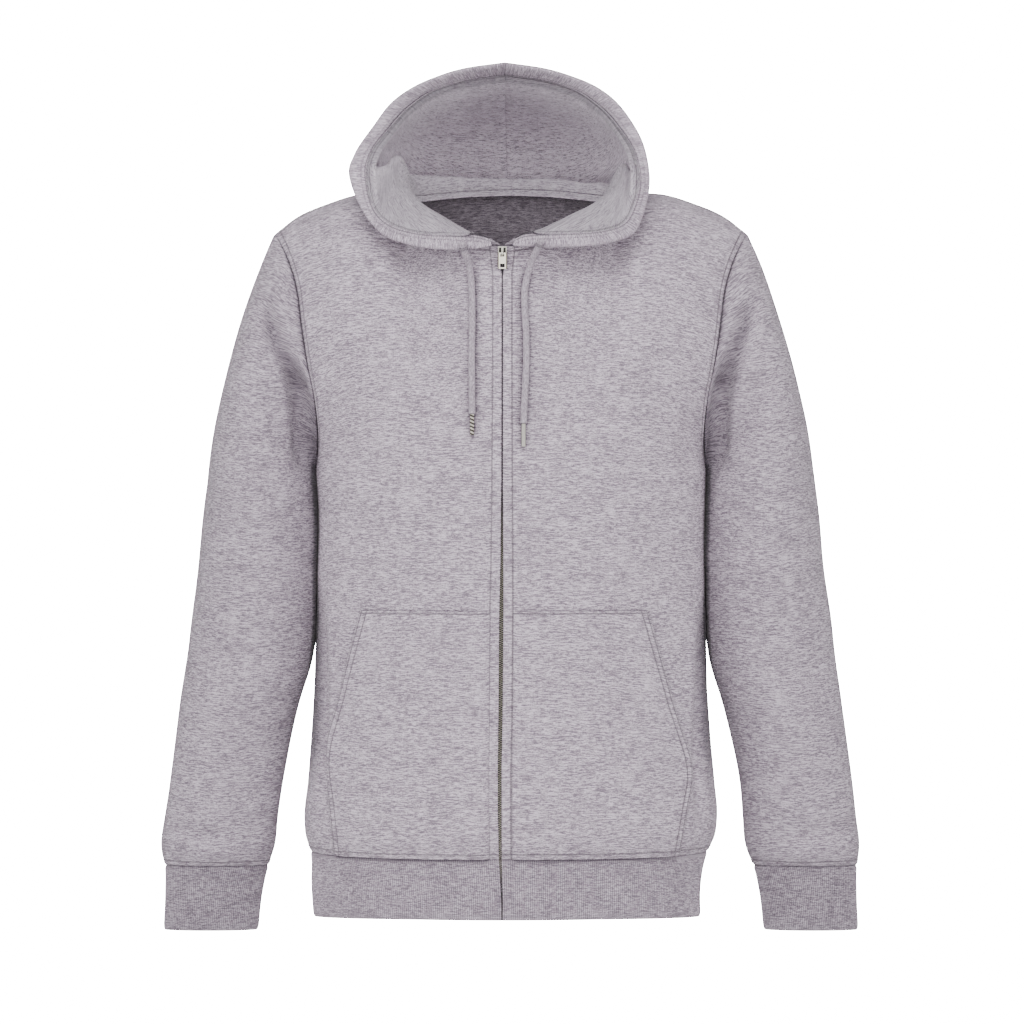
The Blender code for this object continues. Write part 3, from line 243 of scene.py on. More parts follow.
EDGE_LEFT = table(
    "around  sewn_x  sewn_y  sewn_z  free_x  free_y  free_z",
    (0.00,    4.5, -112.0,  -70.5,    2.0, -116.0,  -77.0),
    (0.08,   14.0, -114.0,  -66.5,   13.0, -120.0,  -78.0),
    (0.18,   40.0, -114.0,  -65.0,   40.0, -121.0,  -79.0),
    (0.30,   84.0, -102.0,  -62.0,   91.0, -109.0,  -74.0),
    (0.38,  104.0,  -88.0,  -54.0,  116.0,  -90.0,  -63.0),
    (0.46,  115.0,  -72.0,  -34.0,  128.0,  -70.0,  -34.0),
    (0.53,  119.0,  -60.0,  -12.0,  131.5,  -60.0,  -12.0),
    (0.60,  116.0,  -46.0,   12.0,  129.0,  -50.0,   12.0),
    (0.70,  103.0,  -25.0,   39.0,  118.5,  -34.0,   41.0),
    (0.80,   84.0,    6.0,   65.0,   96.0,   -9.0,   72.0),
    (0.90,   54.0,   32.0,   86.0,   63.0,   15.0,   92.5),
    (0.96,   24.0,   45.0,   95.0,   29.0,   27.0,  103.5),
    (1.00,   -6.0,   50.0,  100.0,   -6.0,   32.0,  109.0),
)

# The opening between the two front edges: its middle and half its width.
ZIP_LINE = table(
    "height  middle  half",
    (-707.0, -8.3, 0.5), (-688.0, -8.3, 0.6), (-670.0, -9.0, 0.9), (-650.0, -9.9, 1.2),
    (-600.0, -10.4, 1.6), (-563.0, -10.4, 1.6), (-506.0, -9.6, 1.8), (-419.0, -8.9, 1.8),
    (-371.0, -8.4, 1.2), (-300.0, -8.2, 0.6), (-227.0, -8.1, 0.5), (-104.0, -8.0, 0.5),
    (-96.0, -8.0, 1.6), (-84.0, -8.0, 2.7), (-60.0, -8.0, 2.7),
)

# Outer edge of each pocket: the sewn side below, then the slanting hand opening.
POCKET_RIGHT = table(
    "height  out", (-650.0, 166.0), (-606.0, 170.0), (-560.0, 172.0), (-490.0, 158.0), (-418.0, 140.0)
)
POCKET_LEFT = table(
    "height  out", (-650.0, 158.0), (-606.0, 165.5), (-581.0, 169.0), (-500.0, 150.0), (-418.0, 127.5)
)

# Drawstrings, from just in front of the turned edge down the chest: x and height of the
# middle, and how far it is lifted off the front.
CORD_RIGHT = table(
    "x  height  lift",
    (-45.5, -75.0, 28.8), (-44.5, -80.0, 27.6), (-42.0, -87.0, 20.0), (-39.0, -96.0, 8.5),
    (-37.2, -108.0, 1.2), (-36.4, -122.0, 0.15), (-36.2, -137.0, 0.15), (-36.2, -152.0, 0.15),
    (-36.4, -168.0, 0.15),
    (-36.5, -184.0, 0.15), (-36.4, -200.0, 0.15), (-36.3, -217.0, 0.15), (-36.2, -234.0, 0.15),
)
CORD_LEFT = table(
    "x  height  lift",
    (28.5, -72.0, 27.6), (26.8, -77.0, 26.6), (23.0, -84.0, 19.0), (19.3, -92.0, 9.0),
    (15.5, -104.0, 1.2), (12.7, -119.0, 0.15), (12.9, -137.0, 0.15), (14.0, -155.0, 0.15),
    (14.4, -175.0, 0.15),
    (14.0, -195.0, 0.15), (13.2, -213.0, 0.15), (12.3, -229.0, 0.15), (11.8, -243.0, 0.15),
)

# ------------------------------------------------------------------ curves
def read(rows, places, key, *names):
    """Named columns at the given places, on one smooth curve through the rows."""
    knots = rows[key] if rows[key][0] < rows[key][-1] else rows[key][::-1]
    backwards = rows[key][0] > rows[key][-1]
    places = np.clip(np.asarray(places, float), knots[0], knots[-1])
    i = np.clip(np.searchsorted(knots, places, side="right") - 1, 0, len(knots) - 2)
    width = knots[i + 1] - knots[i]
    t = (places - knots[i]) / width
    found = []
    for name in names:
        value = rows[name][::-1] if backwards else rows[name]
        slope = np.gradient(value, knots)
        curve = value[i] * (1 + 2 * t) * (1 - t) ** 2 + value[i + 1] * t * t * (3 - 2 * t)
        curve = curve + width * t * (1 - t) * (slope[i] * (1 - t) - slope[i + 1] * t)
        found.append(curve)
    return np.stack(found, axis=-1)


def cubic(p0, p1, p2, p3, t):
    """Points of a cubic arc with these four guide points."""
    t = np.asarray(t, float)[..., None]
    return (1 - t) ** 3 * p0 + 3 * (1 - t) ** 2 * t * p1 + 3 * (1 - t) * t * t * p2 + t ** 3 * p3


def unit(vectors):
    """The vectors at length one."""
    return vectors / np.maximum(np.linalg.norm(vectors, axis=-1, keepdims=True), 1e-9)


def ease(t):
    """0 to 1 with a soft start and end."""
    t = np.clip(t, 0.0, 1.0)
    return t * t * (3 - 2 * t)


def bell(distance, width):
    """1 where the distance is none, falling off both ways as e to minus its square."""
    return np.exp(-(distance / width) ** 2)


def run_along(line):
    """Distance of each point of a line from its first point, along the line."""
    return np.concatenate([[0], np.cumsum(np.linalg.norm(np.diff(line, axis=0), axis=1))])


def at_run(places, run, line):
    """Points of a line at distances along it, straight between its own points."""
    return np.stack([np.interp(places, run, line[:, axis]) for axis in range(3)], axis=-1)


# ------------------------------------------------------------------ body form
def body_row(side, half, height, share):
    """Level arc of half a front or back, from its middle edge to the side seam."""
    reach, depth = np.moveaxis(read(BODY, height, "height", "right" if side == RIGHT else "left",
                                    "front" if half == FRONT else "back"), -1, 0)
    start = ZIP_X + side * ZIP_HALF_GAP if half == FRONT else 0.0
    start = start + 0 * reach
    level = height + 0 * reach
    corner_y = half * depth
    p0 = np.stack([start, corner_y, level], axis=-1)
    p1 = np.stack([start + HUG * (side * reach - start), corner_y, level], axis=-1)
    p2 = np.stack([side * reach, SIDE_Y + HUG * (corner_y - SIDE_Y), level], axis=-1)
    p3 = np.stack([side * reach, SIDE_Y + 0 * reach, level], axis=-1)
    return cubic(p0, p1, p2, p3, share)


def neck_seam(side, half, along):
    """Neck seam of one side: front from the zip to the shoulder, back from there on."""
    rows = NECK_FRONT if half == FRONT else NECK_BACK
    points = read(rows, along, "along", "out", "y", "height")
    shift = ZIP_X * (1 - ease(along)) if half == FRONT else 0.0
    points[..., 0] = side * points[..., 0] + shift
    return points


def top_edge(side, half, share):
    """Upper edge of half a panel: neck seam, then shoulder seam out to its tip."""
    along = np.clip(share / NECK_SHARE, 0, 1)
    neck = neck_seam(side, half, along if half == FRONT else 1 - along)
    over = np.clip((share - NECK_SHARE) / (1 - NECK_SHARE), 0, 1)
    shoulder = read(SHOULDER, over, "along", "out", "y", "height")
    shoulder[..., 0] *= side
    return np.where((share <= NECK_SHARE)[..., None], neck, shoulder)


def armhole(side, half, rise):
    """Armhole seam from the armpit to the shoulder tip."""
    rows = ARMHOLE_FRONT if half == FRONT else ARMHOLE_BACK
    points = read(rows, rise, "rise", "out", "y", "height")
    points[..., 0] *= side
    return points


def turn_over(turn, rise):
    """How far a column has gone in x, y and z, from the armpit level to its top."""
    quarter = rise * math.pi / 2
    back = (1 - turn) * rise + turn * (1 - np.cos(quarter))
    up = (1 - turn) * rise + turn * np.sin(quarter)
    return np.stack([rise + 0 * turn, back, up], axis=-1)


def uncut(side, half, share, rise):
    """The panel above the armpit before its armhole is cut, each column a quarter round."""
    low = body_row(side, half, ARMPIT_Z + 0 * share, share)
    turn = read(TURN_FRONT if half == FRONT else TURN_BACK, share, "share", "round")[..., 0]
    return low + (top_edge(side, half, share) - low) * turn_over(turn, rise)


def half_panel(side, half, level, share):
    """Half a front or back: level 0 to 1 up to the armpit, 1 to 2 up to the neck.

    Below the armpit each row is a level arc. Above it the outer columns run in to the
    armhole's trim and lift, and what is left over is drawn out to the armhole itself.
    """
    level, share = np.meshgrid(level, share, indexing="ij")
    height = HEM_SEAM_Z + np.clip(level, 0, 1) * (ARMPIT_Z - HEM_SEAM_Z)
    low = body_row(side, half, height, share)
    rise = np.clip(level - 1, 0, 1)
    rows = ARMHOLE_FRONT if half == FRONT else ARMHOLE_BACK
    trim, lift = np.moveaxis(read(rows, rise, "rise", "trim", "lift"), -1, 0)
    over = np.clip((share - NECK_SHARE) / (1 - NECK_SHARE), 0, 1)
    column = np.where(share > NECK_SHARE, NECK_SHARE + over * (trim - NECK_SHARE), share)
    row = rise + ease(over) * (lift - rise)
    rest = armhole(side, half, rise) - uncut(side, half, trim, lift)
    high = uncut(side, half, column, row) + ease(share)[..., None] * rest
    return np.where((level > 1)[..., None], high, low)


# ------------------------------------------------------------------ sleeve form
def sleeve_ring(side, height, around):
    """Level ring of a sleeve; around 0 outside, 0.25 front, 0.5 inside, 0.75 back."""
    outer, inner, front, back = np.moveaxis(
        read(SLEEVE, height, "height", "outer", "inner", "front", "back"), -1, 0)
    angle = around * 2 * math.pi
    x = side * ((outer + inner) / 2 + (outer - inner) / 2 * np.cos(angle))
    y = (front + back) / 2 - (back - front) / 2 * np.sin(angle)
    return np.stack([x, y, height + 0 * angle], axis=-1)


def sleeve_form(side, down, around):
    """Sleeve: down 0 to 1 from the armhole to its first full ring, 1 on by height."""
    down, around = np.meshgrid(down, around, indexing="ij")
    in_front = around <= 0.5
    rise = np.where(in_front, 1 - 2 * around, 2 * around - 1)
    both = [armhole(side, half, rise) for half in (FRONT, BACK)]
    p0 = np.where(in_front[..., None], both[0], both[1])
    ways = [read(rows, rise, "rise", "out", "y", "up") for rows in (LEAVE_FRONT, LEAVE_BACK)]
    way = unit(np.where(in_front[..., None], ways[0], ways[1])) * np.array([side, 1.0, 1.0])
    p3 = sleeve_ring(side, CAP_END_Z + 0 * around, around)
    fall = unit(sleeve_ring(side, CAP_END_Z - 40 + 0 * around, around) - p3)
    reach = np.linalg.norm(p3 - p0, axis=-1, keepdims=True) * 0.33
    cap = cubic(p0, p0 + way * reach, p3 - fall * reach, p3, np.clip(down, 0, 1))
    height = CAP_END_Z + np.clip(down - 1, 0, 1) * (CUFF_SEAM_Z - CAP_END_Z)
    return np.where((down > 1)[..., None], sleeve_ring(side, height, around), cap)


# ------------------------------------------------------------------ hood form
def hood_edge(side, around):
    """The turned edge's sewn side and free side at places round the hood."""
    rows = EDGE_RIGHT if side == RIGHT else EDGE_LEFT
    sewn = read(rows, around, "around", "sewn_x", "sewn_y", "sewn_z")
    free = read(rows, around, "around", "free_x", "free_y", "free_z")
    return sewn, free


def hood_neck(side, around):
    """Neck seam for the hood: its first half is the front's, its second the back's."""
    front = neck_seam(side, FRONT, np.clip(around * 2, 0, 1))
    back = neck_seam(side, BACK, np.clip(around * 2 - 1, 0, 1))
    return np.where((around <= 0.5)[..., None], front, back)


def bag_at(neck, outward, out, height):
    """A point of the bag, set out from the neck seam, at its height."""
    point = neck * np.array([1.0, 1.0, 0.0]) + outward * np.array([BAG_SIDEWAYS, 1.0, 0.0]) * out
    point[..., 2] = height
    return point


def hood_form(side, around, out):
    """Half the hood: out 0 at the neck seam, 1 at the turned edge.

    Each section rises from the neck seam to the roll. From there it mixes a straight
    way to the edge with the bag that hangs behind the neck, and it reaches the edge
    in the plane of the turned cloth.
    """
    out, around = np.meshgrid(out, around, indexing="ij")
    neck = hood_neck(side, around)
    sewn, free = hood_edge(side, around)
    arrive = sewn + unit(sewn - free) * HOOD_ARRIVES * ease(around / 0.35)[..., None]
    roll = read(HOOD_ROLL, around, "around", "out", "up", "bag")
    outward = unit(neck * np.array([1.0, 1.0, 0.0]))
    crest = neck + outward * roll[..., :1] + np.array([0, 0, 1.0]) * roll[..., 1:2]
    after = np.clip((out - ROLL_AT) / (1 - ROLL_AT) / 0.92, 0, 1)
    bag = read(HOOD_BAG, after, "station", "out", "height")
    fall = bag_at(neck, outward, bag[..., :1], bag[..., 1])
    first = crest - bag_at(neck, outward, HOOD_BAG["out"][0], HOOD_BAG["height"][0])
    last = arrive - bag_at(neck, outward, HOOD_BAG["out"][-1], HOOD_BAG["height"][-1])
    fall = fall + first * (1 - ease(after))[..., None] + last * ease(after)[..., None]
    chord = crest + (arrive - crest) * after[..., None]
    chord[..., 2] += roll[..., 1] * 0.25 * np.sin(after * math.pi)
    share = roll[..., 2:3]
    body = chord * (1 - share) + fall * share
    climb = np.clip(out / ROLL_AT, 0, 1) * math.pi / 2
    back = 1 - np.cos(climb)
    rising = neck + (crest - neck) * np.stack([back, back, np.sin(climb)], axis=-1)
    points = np.where((out <= ROLL_AT)[..., None], rising, body)
    # beside the zip the hood runs straight from the neck seam to the edge
    straight = (sewn - neck) * out[..., None]
    points = neck + straight + (points - neck - straight) * ease((around / 0.25))[..., None]
    return np.where((out > 0.999)[..., None], sewn, points)


# ------------------------------------------------------------------ grids and normals
def grid_normals(points, wrap=False):
    """Unit normals of a grid: the cross product of its runs across and along."""
    if wrap:
        padded = np.concatenate([points[:, -1:], points, points[:, :1]], axis=1)
        across = padded[:, 2:] - padded[:, :-2]
    else:
        across = np.gradient(points, axis=1)
    return unit(np.cross(across, np.gradient(points, axis=0)))


def panel_normals(points):
    """Unit normals of a body panel's grid, on the side that faces out of the garment."""
    way = grid_normals(points)
    return way * np.sign((way * (points - np.array([0, SIDE_Y, 0])) * np.array([1, 1, 0])).sum())


def panel_skin():
    """Close points of the body's outer face, and the way out at each."""
    points, ways = [], []
    level = np.concatenate([np.linspace(0, 1, 40)[:-1], np.linspace(1, 2, 40)])
    for side in (RIGHT, LEFT):
        for half in (FRONT, BACK):
            grid = half_panel(side, half, level, np.linspace(0, 1, 48))
            points.append(grid.reshape(-1, 3))
            ways.append(panel_normals(grid).reshape(-1, 3))
    return np.concatenate(points), np.concatenate(ways)


def squared_gaps(part, skin):
    """Squared distances of some points from every point of the body's faces."""
    return (part ** 2).sum(1)[:, None] - 2 * part @ skin[0].T + (skin[0] ** 2).sum(1)[None]


def set_clear(points, skin, room):
    """Points moved out along the body's faces until each has its room."""
    flat = points.reshape(-1, 3).copy()
    room = np.broadcast_to(room, points.shape[:-1]).reshape(-1)
    for start in range(0, len(flat), 512):
        part = flat[start:start + 512]
        near = squared_gaps(part, skin).argmin(1)
        off = ((part - skin[0][near]) * skin[1][near]).sum(axis=1)
        gap = np.linalg.norm(part - skin[0][near], axis=1)
        short = np.clip(room[start:start + 512] - off, 0, 60) * np.clip(3 - gap / 8, 0, 1)
        flat[start:start + 512] = part + skin[1][near] * short[:, None]
    return flat.reshape(points.shape)


def gap_to(points, skin):
    """Distance of each point from the body's faces."""
    flat = points.reshape(-1, 3)
    parts = np.array_split(flat, max(1, len(flat) // 512))
    found = [squared_gaps(part, skin).min(1) for part in parts]
    return np.sqrt(np.maximum(np.concatenate(found), 0)).reshape(points.shape[:-1])


def run_from(points, axis, end):
    """Distance of every grid point from one edge of the grid, along its rows or columns."""
    step = np.linalg.norm(np.diff(points, axis=axis), axis=-1)
    zero = np.zeros_like(np.take(step, [0], axis=axis))
    if end:
        total = np.cumsum(np.flip(step, axis), axis=axis)
        return np.flip(np.concatenate([zero, total], axis=axis), axis)
    return np.concatenate([zero, np.cumsum(step, axis=axis)], axis=axis)


def rims(points):
    """Distances in mm from the grid's first and last column and first and last row."""
    return np.stack([run_from(points, 1, False), run_from(points, 1, True),
                     run_from(points, 0, False), run_from(points, 0, True)], axis=-1)


def near_edges(count, closest, first=True, last=True):
    """Places from 0 to 1 that crowd together at the chosen ends."""
    extra = np.array([0.0, closest * 0.35, closest, closest * 2.2])
    start = extra if first else np.array([0.0])
    stop = 1 - extra[::-1] if last else np.array([1.0])
    return np.concatenate([start, np.linspace(start[-1], stop[0], count + 2)[1:-1], stop])


# ------------------------------------------------------------------ folds
def crease(x, z, line, width, depth):
    """A soft trough or ridge along a line of points: depth times a bell of the
    distance to the line over the width, dying out towards both ends."""
    line = np.asarray(line, float)
    best = np.full(np.shape(x), 1e9)
    along = np.zeros(np.shape(x))
    lengths = np.linalg.norm(np.diff(line, axis=0), axis=1)
    starts = np.concatenate([[0], np.cumsum(lengths)])
    for i, length in enumerate(lengths):
        way = (line[i + 1] - line[i]) / length
        t = np.clip((x - line[i, 0]) * way[0] + (z - line[i, 1]) * way[1], 0, length)
        d = np.hypot(x - line[i, 0] - way[0] * t, z - line[i, 1] - way[1] * t)
        along = np.where(d < best, starts[i] + t, along)
        best = np.minimum(best, d)
    fade = ease(along / starts[-1] / 0.3) * ease((1 - along / starts[-1]) / 0.3)
    return depth * bell(best, width) * fade


DRAWN_IN = 22.0                # the fronts are drawn to the zip line over this width


def zip_line(height):
    """Middle and half width of the front opening at a height, straight between the rows."""
    return (np.interp(height, ZIP_LINE["height"], ZIP_LINE["middle"]),
            np.interp(height, ZIP_LINE["height"], ZIP_LINE["half"]))


def close_zip(points):
    """Points of the front drawn towards the zip line: full at its edge, then less and less."""
    middle, half = zip_line(points[..., 2])
    side = np.sign(points[..., 0] - ZIP_X)
    off = np.abs(points[..., 0] - ZIP_X)
    share = ease(1 - (off - ZIP_HALF_GAP) / DRAWN_IN) * (points[..., 1] < 0)
    moved = points.copy()
    moved[..., 0] += share * (middle - ZIP_X + side * (half - ZIP_HALF_GAP))
    return moved


def swell(x, z, seed, size, height):
    """Slow uneven hills: a sum of six sine waves of seeded direction and phase."""
    draw = np.random.RandomState(seed)
    total = 0.0
    for _ in range(6):
        angle, phase = draw.uniform(0, math.pi), draw.uniform(0, 2 * math.pi)
        length = size * draw.uniform(0.7, 1.5)
        total = total + np.sin((x * math.cos(angle) + z * math.sin(angle)) * 2 * math.pi / length + phase)
    return total * height / 6


def folds(x, z, rows):
    """Sum of a table of creases: width, depth and the line of each."""
    total = 0.0
    for width, depth, line in rows:
        total = total + crease(x, z, line, width, depth)
    return total


# Folds of the body, by x and height: width, depth (below 0 a hollow) and line.
FRONT_FOLDS = (
    (16, -2.2, ((-40, -120), (-70, -165), (-110, -200))),
    (18, 1.6, ((-60, -110), (-95, -150), (-140, -185))),
    (14, -1.6, ((30, -110), (60, -150), (90, -210))),
    (20, 1.6, ((50, -100), (95, -140), (130, -200))),
    (14, -2.4, ((-188, -262), (-150, -275), (-100, -300))),
    (14, -2.4, ((188, -262), (150, -280), (105, -300))),
    (12, 1.8, ((-184, -290), (-140, -310), (-90, -330))),
    (12, 1.6, ((184, -292), (140, -315), (95, -345))),
    (6, -7.0, ((-185, -380), (-181, -440), (-179, -500), (-178, -570), (-181, -642))),
    (6, 2.6, ((-171, -400), (-170, -460), (-169, -540), (-171, -630))),
    (6, -7.0, ((187, -390), (183, -450), (179, -520), (177, -580), (181, -642))),
    (6, 2.6, ((173, -400), (171, -470), (169, -550), (171, -630))),
)
# Painted shade on the fronts' sides, turned away below the arms: width, how dark, line.
SIDE_SHADE_STRIPS = (
    (10, 0.85, ((-188, -395), (-188, -450), (-188, -520), (-192, -570), (-196, -600))),
    (10, 0.80, ((188, -395), (187, -450), (187, -520), (191, -570), (195, -600))),
)
BACK_FOLDS = (
    (18, -2.6, ((-150, -120), (-90, -150), (-20, -158))),
    (18, -2.2, ((150, -125), (95, -155), (30, -165))),
    (20, 2.0, ((-160, -170), (-90, -200), (0, -205), (90, -205), (160, -178))),
    (18, -2.6, ((-182, -268), (-120, -300), (-50, -330))),
    (18, -2.6, ((182, -268), (125, -306), (60, -340))),
    (22, 2.2, ((-170, -330), (-90, -380), (-10, -410))),
    (22, 2.2, ((170, -340), (95, -395), (30, -430))),
    (20, -2.4, ((-60, -470), (-75, -550), (-62, -640))),
    (20, -2.2, ((75, -480), (88, -560), (80, -640))),
    (16, -1.8, ((5, -520), (0, -590), (8, -645))),
)


def body_relief(x, z, half):
    """How far a body panel's face stands out from its plain form."""
    rows, seed, hills = (FRONT_FOLDS, 5, 0.9) if half == FRONT else (BACK_FOLDS, 9, 1.6)
    return folds(x, z, rows) + swell(x, z, seed, 110, hills)


# ------------------------------------------------------------------ meshes
def new_mesh(name, points, quads, smooth=True):
    """A mesh object at the origin from points in mm and an array of quads."""
    mesh = bpy.data.meshes.new(name)
    mesh.vertices.add(len(points))
    mesh.vertices.foreach_set("co", (np.asarray(points, float) * MM).astype(np.float32).ravel())
    quads = np.asarray(quads, np.int32)
    sides = quads.shape[1]
    mesh.loops.add(quads.size)
    mesh.loops.foreach_set("vertex_index", quads.ravel())
    mesh.polygons.add(len(quads))
    mesh.polygons.foreach_set("loop_start", np.arange(0, quads.size, sides, dtype=np.int32))
    mesh.polygons.foreach_set("use_smooth", np.full(len(quads), smooth))
    mesh.update(calc_edges=True)
    mesh.validate()
    piece = bpy.data.objects.new(name, mesh)
    bpy.context.scene.collection.objects.link(piece)
    return piece


def lay_uv(piece, name, uv):
    """A UV map in metres from one pair for each vertex."""
    layer = piece.data.uv_layers.new(name=name)
    index = np.empty(len(piece.data.loops), np.int32)
    piece.data.loops.foreach_get("vertex_index", index)
    layer.data.foreach_set("uv", (np.asarray(uv, float)[index] * MM).astype(np.float32).ravel())


def lay_attribute(piece, name, values):
    """Four numbers for each vertex, as an attribute that the materials read."""
    layer = piece.data.color_attributes.new(name, "FLOAT_COLOR", "POINT")
    layer.data.foreach_set("color", values.astype(np.float32).ravel())


def lay_shade(piece, *faces):
    """Painted shade: how dark each vertex is coloured, 0 to 1, as the attribute shade."""
    shade = np.concatenate([face.ravel() for face in faces])
    lay_attribute(piece, "shade", np.repeat(np.clip(shade, 0, 1), 4))


def wrapped(number):
    """A grid of vertex numbers or points with its first column again after its last."""
    return np.concatenate([number, number[:, :1]], axis=1)


def grid_quads(number):
    """The quads of a grid of vertex numbers."""
    corners = [number[:-1, :-1], number[:-1, 1:], number[1:, 1:], number[1:, :-1]]
    return np.stack(corners, axis=-1).reshape(-1, 4)


def shell_quads(rows, columns, wrap):
    """Quads of a closed wall between two grids of the same rows and columns."""
    number = np.arange(rows * columns).reshape(rows, columns)
    if wrap:
        number = wrapped(number)
    shift = rows * columns
    face = grid_quads(number)
    parts = [face, face[:, ::-1] + shift]
    edges = [number[0][::-1], number[-1]]
    if not wrap:
        edges += [number[:, 0], number[:, -1][::-1]]
    for edge in edges:
        parts.append(np.stack([edge[:-1], edge[1:], edge[1:] + shift, edge[:-1] + shift], axis=-1))
    return np.concatenate(parts)


def tucked(faces, end, reach=3.0, down=1.1):
    """Outer face, inner face and normals, longer by two rows that run on under the next
    piece: a step down at the edge, then straight on."""
    outer, inner, way = faces
    row, second = (0, 1) if end == 0 else (-1, -2)
    grown = []
    for face, drop in ((outer, down), (inner, 0.3)):
        on = unit(face[row] - face[second])
        steps = ((0.3, 0.8), (reach, 1.0))
        new = [face[row] + on * go - way[row] * drop * part for go, part in steps]
        grown.append(np.concatenate([new[::-1], face] if end == 0 else [face, new]))
    more = np.stack([way[row]] * 2)
    return grown[0], grown[1], np.concatenate([more, way] if end == 0 else [way, more])


def tucked_side(faces, end, reach=3.0, down=1.1):
    """The same at the first or last column."""
    turned = tucked([np.swapaxes(face, 0, 1) for face in faces], end, reach, down)
    return [np.swapaxes(face, 0, 1) for face in turned]


def shell(name, outer, inner, material, wrap=False, tuck=(0, 0, 0, 0), inside=None):
    """A cloth wall with its UV map and its edge distances, which leave out what is
    tucked under the next piece; riding on the garment."""
    rows, columns = outer.shape[:2]
    points = np.concatenate([outer.reshape(-1, 3), inner.reshape(-1, 3)])
    piece = new_mesh(name, points, shell_quads(rows, columns, wrap))
    u = run_from(outer, 1, False)
    u = u - u[:, columns // 2:columns // 2 + 1]
    v = run_from(outer, 0, False)
    uv = np.stack([u, v], axis=-1).reshape(-1, 2) + np.array([sum(map(ord, name)) * 13.7 % 900, 0.0])
    lay_uv(piece, "cloth", np.concatenate([uv, uv + np.array([400.0, 70.0])]))
    rim = rims(outer) - np.array(tuck, float)
    if wrap:
        rim[..., :2] = 400.0
    lay_attribute(piece, "rim", np.concatenate([rim.reshape(-1, 4), rim.reshape(-1, 4)]))
    piece.data.materials.append(material)
    if inside:
        piece.data.materials.append(inside)
        number = np.arange(len(piece.data.polygons))
        count = (rows - 1) * (columns - (0 if wrap else 1))
        second = ((number >= count) & (number < 2 * count)).astype(np.int32)
        piece.data.polygons.foreach_set("material_index", second)
    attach(piece, GARMENT)
    return piece


SEAM_SINKS = 0.8
BESIDE_SEAM = 3.4              # the cloth swells this far from the seam
SEAM_SWELL = 0.45


def thickened(points, cloth, wrap=False, sewn=(1, 1, 1, 1)):
    """Outer and inner face of a wall on a grid of outer points: its edges drawn in by
    half the seam gap, and the sewn ones sunk a little, as a seam pulls cloth down."""
    way = grid_normals(points, wrap)
    rim = rims(points)
    sunk = 0.0
    for channel in range(4):
        if sewn[channel] and not (wrap and channel < 2):
            sunk = sunk + bell(rim[..., channel], 1.7) * SEAM_SINKS
            sunk = sunk - bell(rim[..., channel] - BESIDE_SEAM, 1.5) * SEAM_SWELL
    outer = points - way * np.minimum(sunk, SEAM_SINKS)[..., None]
    inner = points - way * cloth
    for face in (outer, inner):
        face[0] += unit(face[1] - face[0]) * SEAM_GAP / 2
        face[-1] += unit(face[-2] - face[-1]) * SEAM_GAP / 2
        if not wrap:
            face[:, 0] += unit(face[:, 1] - face[:, 0]) * SEAM_GAP / 2
            face[:, -1] += unit(face[:, -2] - face[:, -1]) * SEAM_GAP / 2
    return outer, inner, way


# ------------------------------------------------------------------ stitches and ribs
def strands(name, starts, ends, ways, radius, material):
    """Many short threads in one mesh: each a thin six-sided capsule from start to end,
    its middle lifted along its way by 0.6 of its radius."""
    rings, sides = 4, 6
    t = np.linspace(0, 1, rings)
    body = starts[:, None] + (ends - starts)[:, None] * t[None, :, None]
    body = body + ways[:, None] * (np.sin(t * math.pi) * radius * 0.6)[None, :, None]
    along = unit(ends - starts)
    side = unit(np.cross(along, ways))
    up = unit(np.cross(side, along))
    thick = radius * np.sqrt(np.clip(1 - (2 * t - 1) ** 4, 0.03, 1))
    angle = np.arange(sides) * 2 * math.pi / sides
    ring = side[:, None, None] * np.cos(angle)[:, None] + up[:, None, None] * np.sin(angle)[:, None]
    ring = ring * thick[:, None, None]
    points = body[:, :, None] + ring
    number = np.arange(rings * sides).reshape(rings, sides)
    first, last = number[0], number[-1]
    caps = [first[[3, 2, 1, 0]], first[[5, 4, 3, 0]], last[[0, 1, 2, 3]], last[[0, 3, 4, 5]]]
    quads = np.concatenate([grid_quads(wrapped(number)), np.array(caps)])
    every = (quads[None] + (np.arange(len(starts)) * rings * sides)[:, None, None]).reshape(-1, 4)
    piece = new_mesh(name, points.reshape(-1, 3), every)
    piece.data.materials.append(material)
    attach(piece, GARMENT)
    return piece


STITCH_PITCH = 3.1
STITCH_LONG = 2.1
STITCH_LIFT = 0.12             # off the cloth


def along_line(line, ways):
    """Starts, ends and ways of stitches spaced evenly along a line of points."""
    run = run_along(line)
    count = max(1, int(run[-1] / STITCH_PITCH))
    first = (np.arange(count) + 0.5) * run[-1] / count - STITCH_LONG / 2
    found = []
    for place in (first, first + STITCH_LONG):
        found.append(at_run(place, run, line) + unit(at_run(place, run, ways)) * STITCH_LIFT)
    return found[0], found[1], unit(at_run(first, run, ways))


def inset(points, ways, channel, distance):
    """The line on a grid that runs at a distance from one of its four edges."""
    rim = rims(points)[..., channel]
    if channel >= 2:
        points, ways, rim = (np.swapaxes(a, 0, 1) for a in (points, ways, rim))
    if channel % 2:
        points, ways, rim = points[:, ::-1], ways[:, ::-1], rim[:, ::-1]
    spot = (rim < distance).sum(axis=1).clip(1, rim.shape[1] - 1)
    row = np.arange(len(rim))
    low, high = rim[row, spot - 1], rim[row, spot]
    t = np.clip((distance - low) / np.maximum(high - low, 1e-6), 0, 1)[:, None]
    line = points[row, spot - 1] * (1 - t) + points[row, spot] * t
    way = unit(ways[row, spot - 1] * (1 - t) + ways[row, spot] * t)
    return line, way


